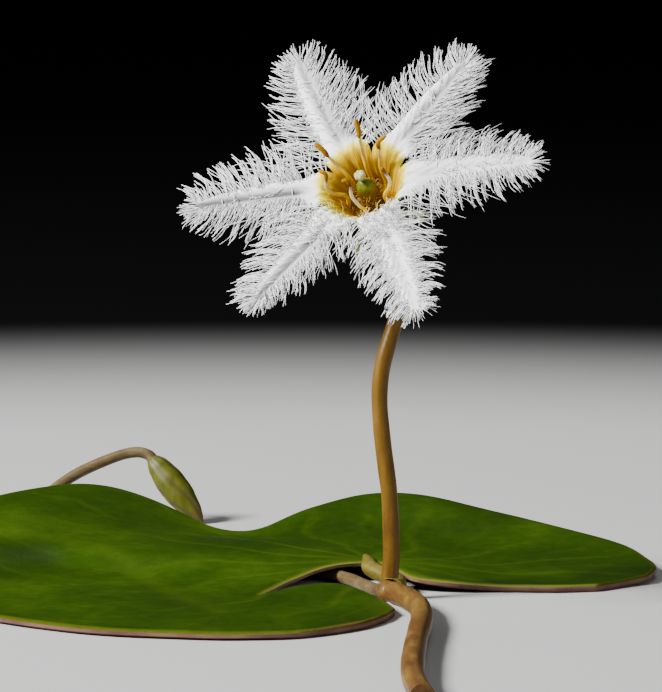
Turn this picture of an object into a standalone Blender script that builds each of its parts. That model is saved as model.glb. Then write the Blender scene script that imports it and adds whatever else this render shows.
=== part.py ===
"""A floating heart as picked: one heart-shaped leaf lying flat, with the stalk of its fringed flower upright.

Lengths are in millimetres and become metres where vertices are made. The foot of the flower's stalk, on the
surface under the node, is the origin, and +Y runs back over the leaf.
"""
import math
import random

import bmesh
import bpy
from mathutils import Vector

MM = 0.001
GAP = 0.06

# The leaf: pairs of points on the notch's edge and on the outer margin, like the ribs of a fan
LEAF_RIBS = [
    ((0.35, -7.2), (-0.3, -9.9)), ((-0.1, -4.8), (-2.2, -13.6)), ((-0.9, -2.0), (-6.0, -17.0)),
    ((-3.4, 2.2), (-9.5, -17.9)), ((-6.5, 1.6), (-14.2, -17.65)), ((-9.3, -1.6), (-22.3, -15.0)),
    ((-7.9, 2.2), (-31.4, -6.8)), ((-6.3, 5.0), (-36.0, 4.0)), ((-5.0, 6.8), (-36.8, 12.0)),
    ((-3.8, 7.9), (-36.0, 19.5)), ((-2.9, 8.35), (-33.0, 26.0)), ((-2.1, 8.6), (-28.5, 31.5)),
    ((-1.4, 8.65), (-23.5, 34.0)), ((-0.9, 8.55), (-17.5, 32.0)), ((-0.45, 8.35), (-11.3, 27.0)),
    ((0.0, 7.9), (-5.8, 32.0)), ((0.4, 7.1), (0.5, 35.5)), ((0.9, 5.7), (7.5, 33.0)),
    ((2.0, 3.9), (14.0, 27.5)), ((4.6, 3.2), (18.4, 21.0)), ((8.8, 3.3), (20.0, 15.0)),
    ((12.4, 3.1), (20.4, 11.0)), ((15.4, 3.7), (19.5, 7.5)),
]
# How high the leaf's underside stands over the surface, at places across it: x, y, height
LEAF_RISE = [
    (-8, -8, 0), (-16, -11, 0), (-25, -7, 0), (-2, -9, 0), (-0.9, -2, 0), (-3.4, 2.2, 0.15),
    (-6.4, 1.6, 0.15), (-16, 0, 0), (-27, 2, 0.2), (-9.3, -1.6, 0.15), (-7.9, 2.5, 0.5), (-6.3, 5, 0.9),
    (-4.2, 7.6, 1.4), (-2, 8.7, 1.5), (-0.2, 8.2, 1.4), (1.1, 5.2, 1.0), (2.6, 3.6, 0.6), (5.4, 3.2, 0.15),
    (8.3, 3.3, 0), (12, 3.1, 0), (15.2, 3.6, 0.1), (20, 8.6, 0.4), (-8.5, 13, 1.5), (-15, 19, 1.6),
    (-21, 25.5, 2.1), (-25.5, 31, 3.6), (-24, 34, 4.6), (-30, 30, 3.6), (-34.5, 23, 2.8), (-36.5, 14, 1.7),
    (-36, 5, 0.7), (-33, -3.5, 0.15), (-18.5, 33, 2.4), (-14, 28.5, 0.65), (-11, 26, 0.25), (-8, 30, 1.7),
    (-5.8, 32, 2.5), (-1, 35.5, 3.2), (3, 35, 2.9), (9, 32, 1.9), (13.3, 29, 1.4), (17, 24, 1.05),
    (19.5, 17, 0.85), (5, 18, 0), (12, 12, 0), (2, 27, 1.1), (10, 22, 0.2), (15, 15, 0.2), (-3, 16, 0.7),
]
RISE_SPREAD = 3.8
LEAF_BEDDING = 0.15
LEAF_THICKNESS = 0.65
LEAF_STEPS_ROUND = 44
LEAF_STEPS_ACROSS = 6

# What joins at the node
NODE_HALF_SIZE = (0.98, 1.3, 0.98)
NODE_CENTRE_HEIGHT = 0.6
FLOWER_STALK_RADIUS = 0.62
FLOWER_STALK_ROUTE = [
    (0.05, 0.0, 1.7), (0.17, 0.0, 3.4), (0.12, 0.0, 5.7), (0.0, 0.0, 7.9), (-0.2, 0.0, 9.5),
    (-0.42, 0.0, 11.2), (-0.6, 0.0, 12.9), (-0.7, 0.0, 14.4), (-0.68, 0.02, 15.8), (-0.48, 0.1, 17.2),
    (-0.15, 0.25, 18.5), (0.3, 0.55, 19.9), (0.75, 1.05, 21.5), (1.05, 1.75, 23.4), (0.9, 1.95, 25.0),
    (0.27, 0.62, 26.47), (-0.36, -0.78, 27.71),
]
LEAF_STALK_RADIUS = 0.62
LEAF_STALK_ROUTE = [
    (0.45, 1.5, 0.72), (0.75, 3.0, 0.72), (0.4, 4.8, 0.82), (-0.7, 6.3, 1.05), (-1.3, 7.3, 1.3),
    (-1.42, 8.3, 1.45),
]
STEM_RADIUS = 0.8
STEM_ROUTE = [
    (0.3, -1.55, 0.82), (1.25, -4.2, 0.82), (2.0, -8.2, 0.82), (2.1, -13.5, 0.82), (1.7, -20.0, 0.82),
    (1.25, -28.0, 0.82), (1.05, -36.0, 0.82), (1.5, -43.5, 0.82),
]
BUD_STALK_RADIUS = 0.45
BUD_STALK_ROUTE = [
    (-0.74, 1.1, 0.52), (-1.7, 3.6, 0.5), (-3.4, 7.8, 0.5), (-8.2, 13.4, 0.52), (-15.0, 19.3, 0.55),
    (-21.0, 25.5, 0.6), (-25.5, 31.2, 0.65), (-28.0, 35.6, 0.9), (-28.3, 38.8, 1.8), (-26.9, 40.8, 3.0),
    (-24.8, 41.5, 4.25), (-22.0, 41.8, 5.4), (-20.4, 41.8, 5.75), (-19.4, 41.68, 5.62),
]
BUD_TOP = (-19.25, 41.6, 5.45)
BUD_TIP = (-14.8, 39.9, 0.05)
BUD_RADIUS = 1.25
# The bud's share of its radius, and of its length from its stalk
BUD_OUTLINE = [
    (0.0, 0.0), (0.32, 0.02), (0.75, 0.14), (1.0, 0.38), (0.95, 0.62), (0.6, 0.84), (0.22, 0.97), (0.0, 1.0),
]

# The flower: where the throat's rim is centred and which way it faces
FLOWER_CENTRE = (-1.81, -4.0, 30.55)
FLOWER_FACES = (-0.32, -0.71, 0.627)
# Petals in order round the flower: angle in degrees, reach, lift of the middle, rise of the tip, swing, and how
# full the fringe is on its left and on its right
PETALS = [
    (12.0, 14.1, 0.35, 0.85, -1.0, 1.0, 1.0),
    (64.5, 13.3, 0.3, 0.9, -0.35, 1.32, 1.06),
    (128.5, 14.7, 0.3, 0.9, -0.35, 1.25, 1.2),
    (191.0, 14.1, 0.35, 0.8, 0.6, 1.08, 1.38),
    (243.3, 13.4, 0.35, 0.8, 0.2, 0.86, 1.15),
    (305.2, 14.6, 0.3, 0.9, -0.6, 1.0, 0.86),
]
PETAL_START = 2.95
BLADE_HALF_WIDTH = 1.27
BLADE_THICKNESS = 0.5
BLADE_STEPS = 19
BLADE_STEPS_ACROSS = 4
BLADE_ARCH = 0.03
SIDE_LOCK_REACH = 2.95
END_LOCK_REACH = 1.5
LOCK_HALF = 0.52
LOCK_GAP = 0.25
TUFT_HEIGHT = 0.85

THROAT_OUTLINE = [(2.88, 0.28), (2.66, -0.4), (2.22, -1.35), (1.78, -2.3), (1.05, -2.95)]
THROAT_WALL = 0.22
RECEPTACLE_OUTLINE = [(0.0, -3.05), (1.85, -3.05), (1.5, -3.6), (0.95, -4.1), (0.62, -4.45), (0.0, -4.45)]
OVARY_OUTLINE = [
    (0.0, 0.5), (0.34, 0.4), (0.58, 0.12), (0.68, -0.35), (0.72, -1.0), (0.74, -1.9), (0.7, -2.97),
    (0.0, -2.97),
]
STYLE_OUTLINE = [(0.0, 0.86), (0.17, 0.83), (0.17, 0.72), (0.24, 0.58), (0.0, 0.56)]
STIGMA_OUTLINE = [(0.0, 1.46), (0.25, 1.42), (0.42, 1.27), (0.42, 1.1), (0.24, 0.95), (0.0, 0.92)]
TURNED_STEPS = 12
THROAT_STEPS = 18

SEPAL_ANGLES = (36.8, 95.8, 161.3, 218.3, 273.2, 337.2)
SEPAL_MIDLINE = [(1.9, -3.0), (2.5, -2.15), (3.3, -1.5), (4.3, -1.25), (5.3, -1.3)]
SEPAL_HALF_WIDTH = 0.75
SEPAL_THICKNESS = 0.2

# Stamens: the filament's points, the anther's far end, both in the flower's own axes, and its half width
FILAMENT_RADIUS = 0.13
STAMENS = [
    ([(-0.58, 1.95, -0.5), (-0.68, 2.4, 0.4), (-0.48, 2.5, 1.5), (-0.3, 2.42, 2.3)], (-0.51, 3.3, 3.4), 0.19),
    ([(0.58, 1.85, -0.5), (0.76, 2.1, 0.5), (1.1, 2.02, 1.6)], (1.88, 2.42, 2.68), 0.19),
    ([(-1.75, 1.05, -0.5), (-2.35, 1.32, 0.4), (-2.8, 1.45, 1.3)], (-3.68, 1.9, 2.28), 0.19),
    ([(-1.5, -0.55, -0.7), (-2.15, -0.9, 0.1), (-2.5, -0.85, 0.8), (-2.35, -0.65, 1.35)],
     (-2.85, -0.28, 2.0), 0.15),
    ([(0.36, -1.85, -0.5), (0.26, -2.05, 0.3), (-0.1, -1.85, 1.2), (-0.05, -1.45, 1.9)],
     (-0.62, -1.42, 2.32), 0.15),
    ([(1.44, -0.48, -0.7), (2.02, -0.35, 0.2), (2.25, -0.15, 0.9), (2.0, 0.1, 1.5)], (1.88, 0.13, 1.95), 0.15),
]


def finish(name, colour, roughness):
    """A plain material in the part's own colour."""
    material = bpy.data.materials.new(name)
    material.use_nodes = True
    shader = material.node_tree.nodes["Principled BSDF"]
    shader.inputs["Base Color"].default_value = (*colour, 1.0)
    shader.inputs["Roughness"].default_value = roughness
    shader.inputs["Metallic"].default_value = 0.0
    return material


def place(name, data, material, parent=None):
    """Links a new object under its node's name."""
    thing = bpy.data.objects.new(name, data)
    data.materials.append(material)
    collection.objects.link(thing)
    thing.parent = parent
    return thing


def spline_point(before, start, end, after, along):
    """A point between start and end on the smooth curve through all four."""
    steady = 2 * start
    slope = (end - before) * along
    bend = (2 * before - 5 * start + 4 * end - after) * along ** 2
    turn = (3 * start - before - 3 * end + after) * along ** 3
    return 0.5 * (steady + slope + bend + turn)


def along_curve(points, share):
    """The point at a share from 0 to 1 of the smooth curve through the points."""
    spans = len(points) - 1
    position = min(max(share, 0.0), 1.0) * spans
    span = min(int(position), spans - 1)
    before = points[max(span - 1, 0)]
    after = points[min(span + 2, spans)]
    return spline_point(before, points[span], points[span + 1], after, position - span)


def tube(name, route, radius, material, steps, resolution=2, parent=None, taper=1.0):
    """A round stalk along a smooth route, as a curve with filled caps."""
    points = [Vector(point) for point in route]
    count = (len(points) - 1) * steps + 1
    curve = bpy.data.curves.new(name, "CURVE")
    curve.dimensions = "3D"
    curve.bevel_depth = radius * MM
    curve.bevel_resolution = resolution
    curve.use_fill_caps = True
    spline = curve.splines.new("POLY")
    spline.points.add(count - 1)
    for index, knot in enumerate(spline.points):
        share = index / (count - 1)
        knot.co = (*(along_curve(points, share) * MM), 1.0)
        knot.radius = 1.0 + (taper - 1.0) * share
    return place(name, curve, material, parent)


def turned(name, outline, steps, material, parent=None, wall=None):
    """A turned shape from its outline of radius and height, run from top to bottom."""
    mesh = bpy.data.meshes.new(name)
    outline_mesh = bmesh.new()
    knots = [outline_mesh.verts.new((radius * MM, 0.0, height * MM)) for radius, height in outline]
    for upper, lower in zip(knots, knots[1:]):
        outline_mesh.edges.new((upper, lower))
    outline_mesh.to_mesh(mesh)
    outline_mesh.free()
    thing = place(name, mesh, material, parent)
    screw = thing.modifiers.new("turn", "SCREW")
    screw.axis = "Z"
    screw.steps = steps
    screw.render_steps = steps
    screw.use_merge_vertices = True
    screw.merge_threshold = 0.00001
    if wall:
        solidify = thing.modifiers.new("wall", "SOLIDIFY")
        solidify.thickness = wall * MM
        solidify.offset = -1.0
    return thing


def leaf_height(x, y):
    """The underside's height, blended smoothly between the stated places."""
    weights = [math.exp(-((x - px) ** 2 + (y - py) ** 2) / (2 * RISE_SPREAD ** 2)) for px, py, _ in LEAF_RISE]
    total = sum(weights) + 1e-9
    height = sum(weight * rise for weight, (_, _, rise) in zip(weights, LEAF_RISE)) / total
    return max(height - LEAF_BEDDING, 0.0)


def make_leaf(material):
    """The heart: a fan of ribs from the notch's edge to the margin, given its thickness upwards."""
    inner = [Vector(rib[0]) for rib in LEAF_RIBS]
    outer = [Vector(rib[1]) for rib in LEAF_RIBS]
    sheet = bmesh.new()
    bmesh.ops.create_grid(sheet, x_segments=LEAF_STEPS_ROUND, y_segments=LEAF_STEPS_ACROSS, size=0.5)
    for vertex in sheet.verts:
        share_round = vertex.co.x + 0.5
        share_across = vertex.co.y + 0.5
        start = along_curve(inner, share_round)
        x, y = start.lerp(along_curve(outer, share_round), share_across)
        vertex.co = Vector((x, y, leaf_height(x, y))) * MM
    bmesh.ops.recalc_face_normals(sheet, faces=sheet.faces)
    if sum(face.normal.z for face in sheet.faces) < 0:
        bmesh.ops.reverse_faces(sheet, faces=sheet.faces)
    mesh = bpy.data.meshes.new("leaf")
    sheet.to_mesh(mesh)
    sheet.free()
    mesh.shade_smooth()
    leaf = place("leaf", mesh, material)
    solidify = leaf.modifiers.new("thickness", "SOLIDIFY")
    solidify.thickness = LEAF_THICKNESS * MM
    solidify.offset = 1.0
    return leaf


def make_node(material):
    """The swollen joint, flat where it rests."""
    knob = bmesh.new()
    bmesh.ops.create_uvsphere(knob, u_segments=12, v_segments=8, radius=1.0)
    for vertex in knob.verts:
        x, y, z = (share * half for share, half in zip(vertex.co, NODE_HALF_SIZE))
        vertex.co = Vector((x, y, max(z + NODE_CENTRE_HEIGHT, 0.0))) * MM
    bmesh.ops.dissolve_limit(knob, angle_limit=0.001, verts=knob.verts, edges=knob.edges)
    mesh = bpy.data.meshes.new("stem_node")
    knob.to_mesh(mesh)
    knob.free()
    return place("stem_node", mesh, material)


def blade_half_width(along):
    """Half the blade's width from the throat, 0, to its rounded end, 1."""
    belly = 1.0 - 0.06 * along
    rounding = math.sqrt(1.0 - 0.86 * along ** 6)
    return BLADE_HALF_WIDTH * belly * rounding


def from_root_to_tip(face):
    """Puts faces in a fixed order along the petal, then across it."""
    middle = face.calc_center_median()
    return round(middle.x, 3), round(middle.y, 3)


def grow_lock(mesh, face, heading, middle_heading, reach, waist):
    """Draws one face of the blade out into a lock that bends once and ends in a point."""
    root = face.calc_center_median()
    middle = root + middle_heading * reach * LOCK_HALF
    tip = middle + heading * reach * LOCK_HALF
    drawn = bmesh.ops.extrude_discrete_faces(mesh, faces=[face])["faces"][0]
    for vertex in drawn.verts:
        vertex.co = middle + (vertex.co - root) * waist
    point = bmesh.ops.poke(mesh, faces=[drawn])["verts"][0]
    point.co = tip


def room_to(root, heading, edge_slope):
    """How far a lock may run from its root before it reaches the line halfway to the next petal."""
    side = math.copysign(1.0, root.y)
    closing = side * heading.y - heading.x * edge_slope
    spare = root.x * edge_slope - side * root.y - LOCK_GAP
    return spare / closing if closing > 0 else 10.0


def make_petal(index, material, parent):
    """One fringed lobe: a narrow blade, locks along its margin and short tufts along its upper face."""
    angle, reach, lift, rise, swing, left_fullness, right_fullness = PETALS[index]
    before = PETALS[index - 1][0]
    after = PETALS[(index + 1) % len(PETALS)][0]
    half_gaps = {1.0: ((after - angle) % 360) / 2, -1.0: ((angle - before) % 360) / 2}
    slopes = {side: math.tan(math.radians(gap)) for side, gap in half_gaps.items()}
    chance = random.Random(11 + index)
    blade_length = reach - END_LOCK_REACH - PETAL_START

    blade = bmesh.new()
    bmesh.ops.create_grid(blade, x_segments=BLADE_STEPS, y_segments=BLADE_STEPS_ACROSS, size=0.5)
    for vertex in blade.verts:
        along = vertex.co.x + 0.5
        half_width = blade_half_width(along)
        vertex.co = (PETAL_START + blade_length * along, vertex.co.y * 2 * half_width, -BLADE_THICKNESS / 2)
    shell = bmesh.ops.extrude_face_region(blade, geom=blade.faces[:])["geom"]
    for vertex in shell:
        if isinstance(vertex, bmesh.types.BMVert):
            vertex.co.z = BLADE_THICKNESS / 2
    bmesh.ops.recalc_face_normals(blade, faces=blade.faces)

    walls = [face for face in blade.faces if abs(face.normal.z) < 0.5 and face.normal.x > -0.5]
    uppers = [face for face in blade.faces if face.normal.z > 0.5]
    walls.sort(key=from_root_to_tip)
    uppers.sort(key=from_root_to_tip)
    for face in walls:
        root = face.calc_center_median()
        along = (root.x - PETAL_START) / blade_length
        outward = Vector((face.normal.x, face.normal.y, 0.0)).normalized()
        at_end = outward.x > 0.9
        sweep = Vector((0.0 if at_end else 0.75, root.y * 0.9 if at_end else 0.0, 0.0))
        tilt = chance.uniform(0.1, 0.9)
        middle_heading = (outward + sweep * 0.55 + Vector((0, 0, tilt))).normalized()
        heading = (outward + sweep * chance.uniform(1.0, 1.5) + Vector((0, 0, tilt * 0.5))).normalized()
        fullness = (1.0 - 0.3 * along ** 2) * (left_fullness if root.y > 0 else right_fullness)
        length = (END_LOCK_REACH if at_end else SIDE_LOCK_REACH * fullness) * chance.uniform(0.88, 1.06)
        if not at_end:
            swung = Vector((root.x, root.y + swing * along ** 2, root.z))
            slope = slopes[math.copysign(1.0, root.y)]
            crowding = 1.0 - min(room_to(swung, heading, slope) / length, 1.0)
            heading = (heading + Vector((crowding, 0.0, 0.3 * crowding))).normalized()
            middle_heading = middle_heading.lerp(heading, crowding)
            to_tip = (middle_heading + heading) * LOCK_HALF
            to_middle = middle_heading * LOCK_HALF
            length = min(length, room_to(swung, to_tip, slope), room_to(swung, to_middle, slope))
        if length > 0.15:
            grow_lock(blade, face, heading, middle_heading, length, 0.55)
    for face in uppers:
        root = face.calc_center_median()
        column = round((root.x - PETAL_START) / blade_length * BLADE_STEPS - 0.5)
        near_midline = abs(root.y) < 0.5 * blade_half_width((root.x - PETAL_START) / blade_length)
        if near_midline and (column + (root.y > 0)) % 2 == 0 and column > 0:
            tuft = bmesh.ops.poke(blade, faces=[face])["verts"][0]
            lean = Vector((0.5, math.copysign(0.25, root.y), TUFT_HEIGHT * chance.uniform(0.75, 1.0)))
            tuft.co = root + lean

    for vertex in blade.verts:
        x, y, z = vertex.co
        along = (x - PETAL_START) / (reach - PETAL_START)
        height = z + 4 * lift * along * (1 - along) + rise * along ** 2 - BLADE_ARCH * y ** 2
        vertex.co = Vector((x, y + swing * along ** 2, height)) * MM
    mesh = bpy.data.meshes.new("petal")
    blade.to_mesh(mesh)
    blade.free()
    petal = place(f"petal_{index + 1}", mesh, material, parent)
    petal.rotation_euler.z = math.radians(angle)
    return petal


def make_sepal(index, material, parent):
    """A narrow pointed sepal under the gap between two petals."""
    midline = [Vector(point) for point in SEPAL_MIDLINE]
    sheet = bmesh.new()
    bmesh.ops.create_grid(sheet, x_segments=5, y_segments=2, size=0.5)
    for vertex in sheet.verts:
        along = vertex.co.x + 0.5
        radius, height = along_curve(midline, along)
        width = SEPAL_HALF_WIDTH * (0.12 + 0.88 * math.sin(math.pi * (0.25 + 0.75 * along)) ** 0.8)
        vertex.co = Vector((radius, vertex.co.y * 2 * width, height)) * MM
    shell = bmesh.ops.extrude_face_region(sheet, geom=sheet.faces[:])["geom"]
    for vertex in shell:
        if isinstance(vertex, bmesh.types.BMVert):
            vertex.co.z -= SEPAL_THICKNESS * MM
    bmesh.ops.recalc_face_normals(sheet, faces=sheet.faces)
    mesh = bpy.data.meshes.new("sepal")
    sheet.to_mesh(mesh)
    sheet.free()
    sepal = place(f"sepal_{index + 1}", mesh, material, parent)
    sepal.rotation_euler.z = math.radians(SEPAL_ANGLES[index])
    return sepal


def make_anther(index, start, end, half_width, material, parent):
    """A slim two-lobed anther from the filament's tip to its far end."""
    axis = end - start
    length = axis.length - GAP
    anther = bmesh.new()
    bmesh.ops.create_uvsphere(anther, u_segments=8, v_segments=5, radius=1.0)
    for vertex in anther.verts:
        x, y, z = vertex.co
        vertex.co = (x * half_width * MM, y * half_width * 0.8 * MM, z * length / 2 * MM)
    mesh = bpy.data.meshes.new("anther")
    anther.to_mesh(mesh)
    anther.free()
    mesh.shade_smooth()
    thing = place(f"anther_{index + 1}", mesh, material, parent)
    thing.location = (start + axis.normalized() * (GAP + length / 2)) * MM
    thing.rotation_euler = axis.to_track_quat("Z", "Y").to_euler()
    return thing


def make_bud(material):
    """The nodding bud, a spindle hanging from its stalk."""
    top = Vector(BUD_TOP)
    axis = Vector(BUD_TIP) - top
    outline = [(radius * BUD_RADIUS, axis.length * (1 - along)) for radius, along in BUD_OUTLINE]
    bud = turned("bud", outline, 10, material)
    bud.location = (top + axis) * MM
    bud.rotation_euler = (-axis).to_track_quat("Z", "Y").to_euler()
    return bud


for leftover in list(bpy.data.objects):
    bpy.data.objects.remove(leftover, do_unlink=True)
collection = bpy.data.collections.new("floating_heart")
bpy.context.scene.collection.children.link(collection)

petal_white = finish("petal_white", (0.86, 0.87, 0.85), 0.6)
throat_yellow = finish("throat_yellow", (0.78, 0.46, 0.03), 0.5)
anther_orange = finish("anther_orange", (0.72, 0.36, 0.03), 0.6)
filament_cream = finish("filament_cream", (0.85, 0.8, 0.6), 0.5)
ovary_green = finish("ovary_green", (0.3, 0.32, 0.04), 0.4)
stigma_cream = finish("stigma_cream", (0.8, 0.75, 0.5), 0.6)
sepal_green = finish("sepal_green", (0.16, 0.3, 0.05), 0.5)
stalk_brown = finish("stalk_brown", (0.36, 0.22, 0.06), 0.45)
stem_red = finish("stem_red", (0.3, 0.12, 0.05), 0.5)
leaf_green = finish("leaf_green", (0.1, 0.24, 0.02), 0.35)
bud_green = finish("bud_green", (0.4, 0.42, 0.05), 0.5)

make_leaf(leaf_green)
make_node(stem_red)
tube("flower_stalk", FLOWER_STALK_ROUTE, FLOWER_STALK_RADIUS, stalk_brown, 2, taper=0.92)
tube("leaf_stalk", LEAF_STALK_ROUTE, LEAF_STALK_RADIUS, stem_red, 3)
tube("stem", STEM_ROUTE, STEM_RADIUS, stem_red, 2)
tube("bud_stalk", BUD_STALK_ROUTE, BUD_STALK_RADIUS, stem_red, 2, resolution=1)
make_bud(bud_green)

flower = bpy.data.objects.new("flower_axes", None)
collection.objects.link(flower)
flower.location = Vector(FLOWER_CENTRE) * MM
flower.rotation_euler = Vector(FLOWER_FACES).to_track_quat("Z", "Y").to_euler()

turned("throat", THROAT_OUTLINE, THROAT_STEPS, throat_yellow, flower, wall=THROAT_WALL)
turned("receptacle", RECEPTACLE_OUTLINE, TURNED_STEPS, sepal_green, flower)
turned("ovary", OVARY_OUTLINE, TURNED_STEPS, ovary_green, flower)
turned("style", STYLE_OUTLINE, 8, ovary_green, flower)
turned("stigma", STIGMA_OUTLINE, 10, stigma_cream, flower)
for number in range(len(PETALS)):
    make_petal(number, petal_white, flower)
    make_sepal(number, sepal_green, flower)
for number, (route, far_end, half_width) in enumerate(STAMENS):
    name = f"filament_{number + 1}"
    tube(name, route, FILAMENT_RADIUS, filament_cream, 2, resolution=1, parent=flower)
    make_anther(number, Vector(route[-1]), Vector(far_end), half_width, anther_orange, flower)
bpy.context.view_layer.update()
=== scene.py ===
import math

import bpy
import numpy as np
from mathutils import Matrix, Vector


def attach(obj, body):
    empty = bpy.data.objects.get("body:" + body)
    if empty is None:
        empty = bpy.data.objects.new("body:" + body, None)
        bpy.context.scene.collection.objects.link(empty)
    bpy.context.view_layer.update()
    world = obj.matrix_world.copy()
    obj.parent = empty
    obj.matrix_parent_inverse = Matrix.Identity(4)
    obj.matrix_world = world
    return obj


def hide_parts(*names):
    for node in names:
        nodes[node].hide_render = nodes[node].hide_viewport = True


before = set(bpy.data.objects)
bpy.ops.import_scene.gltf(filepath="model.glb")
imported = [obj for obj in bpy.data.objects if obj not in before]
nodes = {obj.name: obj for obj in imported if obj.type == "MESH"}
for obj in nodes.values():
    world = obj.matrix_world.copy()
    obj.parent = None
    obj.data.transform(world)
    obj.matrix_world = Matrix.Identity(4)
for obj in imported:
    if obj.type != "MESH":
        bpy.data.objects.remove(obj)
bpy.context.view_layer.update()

mm = 0.001
fullTurn = 2 * math.pi
mergeGap = 0.002 * mm
offAxis = (0.31, 0.42, 0.85)
petalCount = 6
white = (0.83, 0.84, 0.82)


# Small helpers for modelling

def makeActive(piece):
    bpy.ops.object.select_all(action="DESELECT")
    piece.select_set(True)
    bpy.context.view_layer.objects.active = piece


def named(piece, name):
    piece.name = name
    piece.data.name = name
    return piece


def clamped(values):
    return np.clip(values, 0.0, 1.0)


def unit(ways):
    return ways / np.linalg.norm(ways, axis=-1, keepdims=True)


def corners(piece):
    flat = np.empty(len(piece.data.vertices) * 3)
    piece.data.vertices.foreach_get("co", flat)
    return flat.reshape(-1, 3)


def setCorners(piece, places):
    piece.data.vertices.foreach_set("co", np.ascontiguousarray(places, dtype=float).ravel())
    piece.data.update()


def markCorners(piece, **marks):
    for name, values in marks.items():
        layer = piece.data.attributes.new(name, "FLOAT", "POINT")
        layer.data.foreach_set("value", np.ascontiguousarray(values, dtype=float))


def shadeSmooth(piece, angle=None):
    makeActive(piece)
    if angle:
        bpy.ops.object.shade_smooth_by_angle(angle=angle)
    else:
        bpy.ops.object.shade_smooth()


def shapeWith(piece, kind, **settings):
    # adds a modifier and applies it
    modifier = piece.modifiers.new("shaper", kind)
    for key, value in settings.items():
        setattr(modifier, key, value)
    makeActive(piece)
    bpy.ops.object.modifier_apply(modifier=modifier.name)


def mend(piece, merge=True, pair=False, cap=False, inset=0.0):
    # merges a seam, pairs triangles, closes open ends, and turns the faces outwards
    makeActive(piece)
    bpy.ops.object.mode_set(mode="EDIT")
    bpy.ops.mesh.select_all(action="SELECT")
    if merge:
        bpy.ops.mesh.remove_doubles(threshold=mergeGap)
    if pair:
        bpy.ops.mesh.tris_convert_to_quads(face_threshold=1.0, shape_threshold=1.2)
    if cap:
        bpy.ops.mesh.select_all(action="DESELECT")
        bpy.ops.mesh.select_non_manifold()
        bpy.ops.mesh.edge_face_add()
        if inset:
            bpy.ops.mesh.inset(thickness=inset, depth=0.0)
        bpy.ops.mesh.select_all(action="SELECT")
    bpy.ops.mesh.normals_make_consistent(inside=False)
    bpy.ops.object.mode_set(mode="OBJECT")


def facePlace(piece, place):
    # turns a sheet over if its middle face looks away from the place
    middle = piece.data.polygons[len(piece.data.polygons) // 2]
    if middle.normal.dot(Vector(place) - middle.center) < 0:
        piece.data.flip_normals()


def gridPiece(name, steps, rows):
    # a flat sheet of steps x rows faces, and the places of its corners, from 0 to 1 both ways
    bpy.ops.mesh.primitive_grid_add(x_subdivisions=steps, y_subdivisions=rows, size=1.0, location=(0, 0, 0))
    piece = named(bpy.context.object, name)
    setCorners(piece, corners(piece) + (0.5, 0.5, 0.0))
    flat = corners(piece)
    return piece, flat[:, 0], flat[:, 1]


def finerCopy(node, name):
    # a CAD node's own shape, merged, with its triangles paired again, made smooth
    piece = bpy.data.objects.new(name, nodes[node].data.copy())
    bpy.context.scene.collection.objects.link(piece)
    piece.data.materials.clear()
    makeActive(piece)
    if piece.data.has_custom_normals:
        bpy.ops.mesh.customdata_custom_splitnormals_clear()
    mend(piece, pair=True)
    shapeWith(piece, "SUBSURF", levels=2, render_levels=2)
    shadeSmooth(piece)
    return piece


def alongRoute(points, shares):
    # places on the smooth curve through the points
    points = np.asarray(points, float)
    spans = len(points) - 1
    position = clamped(shares) * spans
    span = np.minimum(position.astype(int), spans - 1)
    t = (position - span)[:, None]
    before, start = points[np.maximum(span - 1, 0)], points[span]
    end, after = points[span + 1], points[np.minimum(span + 2, spans)]
    return 0.5 * (2 * start + (end - before) * t + (2 * before - 5 * start + 4 * end - after) * t ** 2
                  + (3 * start - before - 3 * end + after) * t ** 3)


def rings(path):
    # two directions square to a path at each of its points, turning as little as they can
    ahead = unit(np.gradient(path, axis=0))
    side = np.cross(ahead[0], offAxis)
    sides = []
    for way in ahead:
        side = unit(side - way * side.dot(way))
        sides.append(side)
    sides = np.array(sides)
    return sides, np.cross(ahead, sides)


def stalkPiece(name, route, radius, steps, around, shape):
    # a rolled sheet along a route: its seam is merged and both ends are closed
    piece, along, roll = gridPiece(name, steps, around)
    turn = roll * fullTurn
    path = alongRoute(route, np.linspace(0.0, 1.0, steps + 1))
    sides, ups = rings(path)
    row = np.rint(along * steps).astype(int)
    reach = (radius * shape(along, turn))[:, None]
    places = path[row] + reach * (np.cos(turn)[:, None] * sides[row] + np.sin(turn)[:, None] * ups[row])
    setCorners(piece, places * mm)
    mend(piece, cap=True, inset=0.08 * mm)
    shadeSmooth(piece, 0.9)
    return piece


def ringPlaces(turn, out, high):
    # places round the z axis
    return np.column_stack(np.broadcast_arrays(out * np.cos(turn), out * np.sin(turn), high))


def finishPiece(piece, finish, slot, *replaced):
    if finish:
        piece.data.materials.append(finish.material)
    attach(piece, "root")
    if replaced:
        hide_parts(*replaced)


# Materials: a finish holds one material, and a wire is a socket that can be used in sums

class Wire:
    def __init__(self, finish, socket):
        self.finish = finish
        self.socket = socket

    def maths(self, operation, first, second=0.0):
        return self.finish.node("Math", {0: first, 1: second}, operation=operation)

    def __add__(self, other):
        return self.maths("ADD", self, other)

    def __radd__(self, other):
        return self.maths("ADD", other, self)

    def __sub__(self, other):
        return self.maths("SUBTRACT", self, other)

    def __rsub__(self, other):
        return self.maths("SUBTRACT", other, self)

    def __mul__(self, other):
        return self.maths("MULTIPLY", self, other)

    def __rmul__(self, other):
        return self.maths("MULTIPLY", other, self)

    def __truediv__(self, other):
        return self.maths("DIVIDE", self, other)

    def __pow__(self, other):
        return self.maths("POWER", self, other)

    def cosine(self):
        return self.maths("COSINE", self)

    def between(self, low, high):
        # 0 below low, 1 above high, eased between them; it falls where low is the larger
        return self.finish.node("MapRange", {0: self, 1: low, 2: high, 3: 0.0, 4: 1.0},
                                interpolation_type="SMOOTHSTEP")


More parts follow.
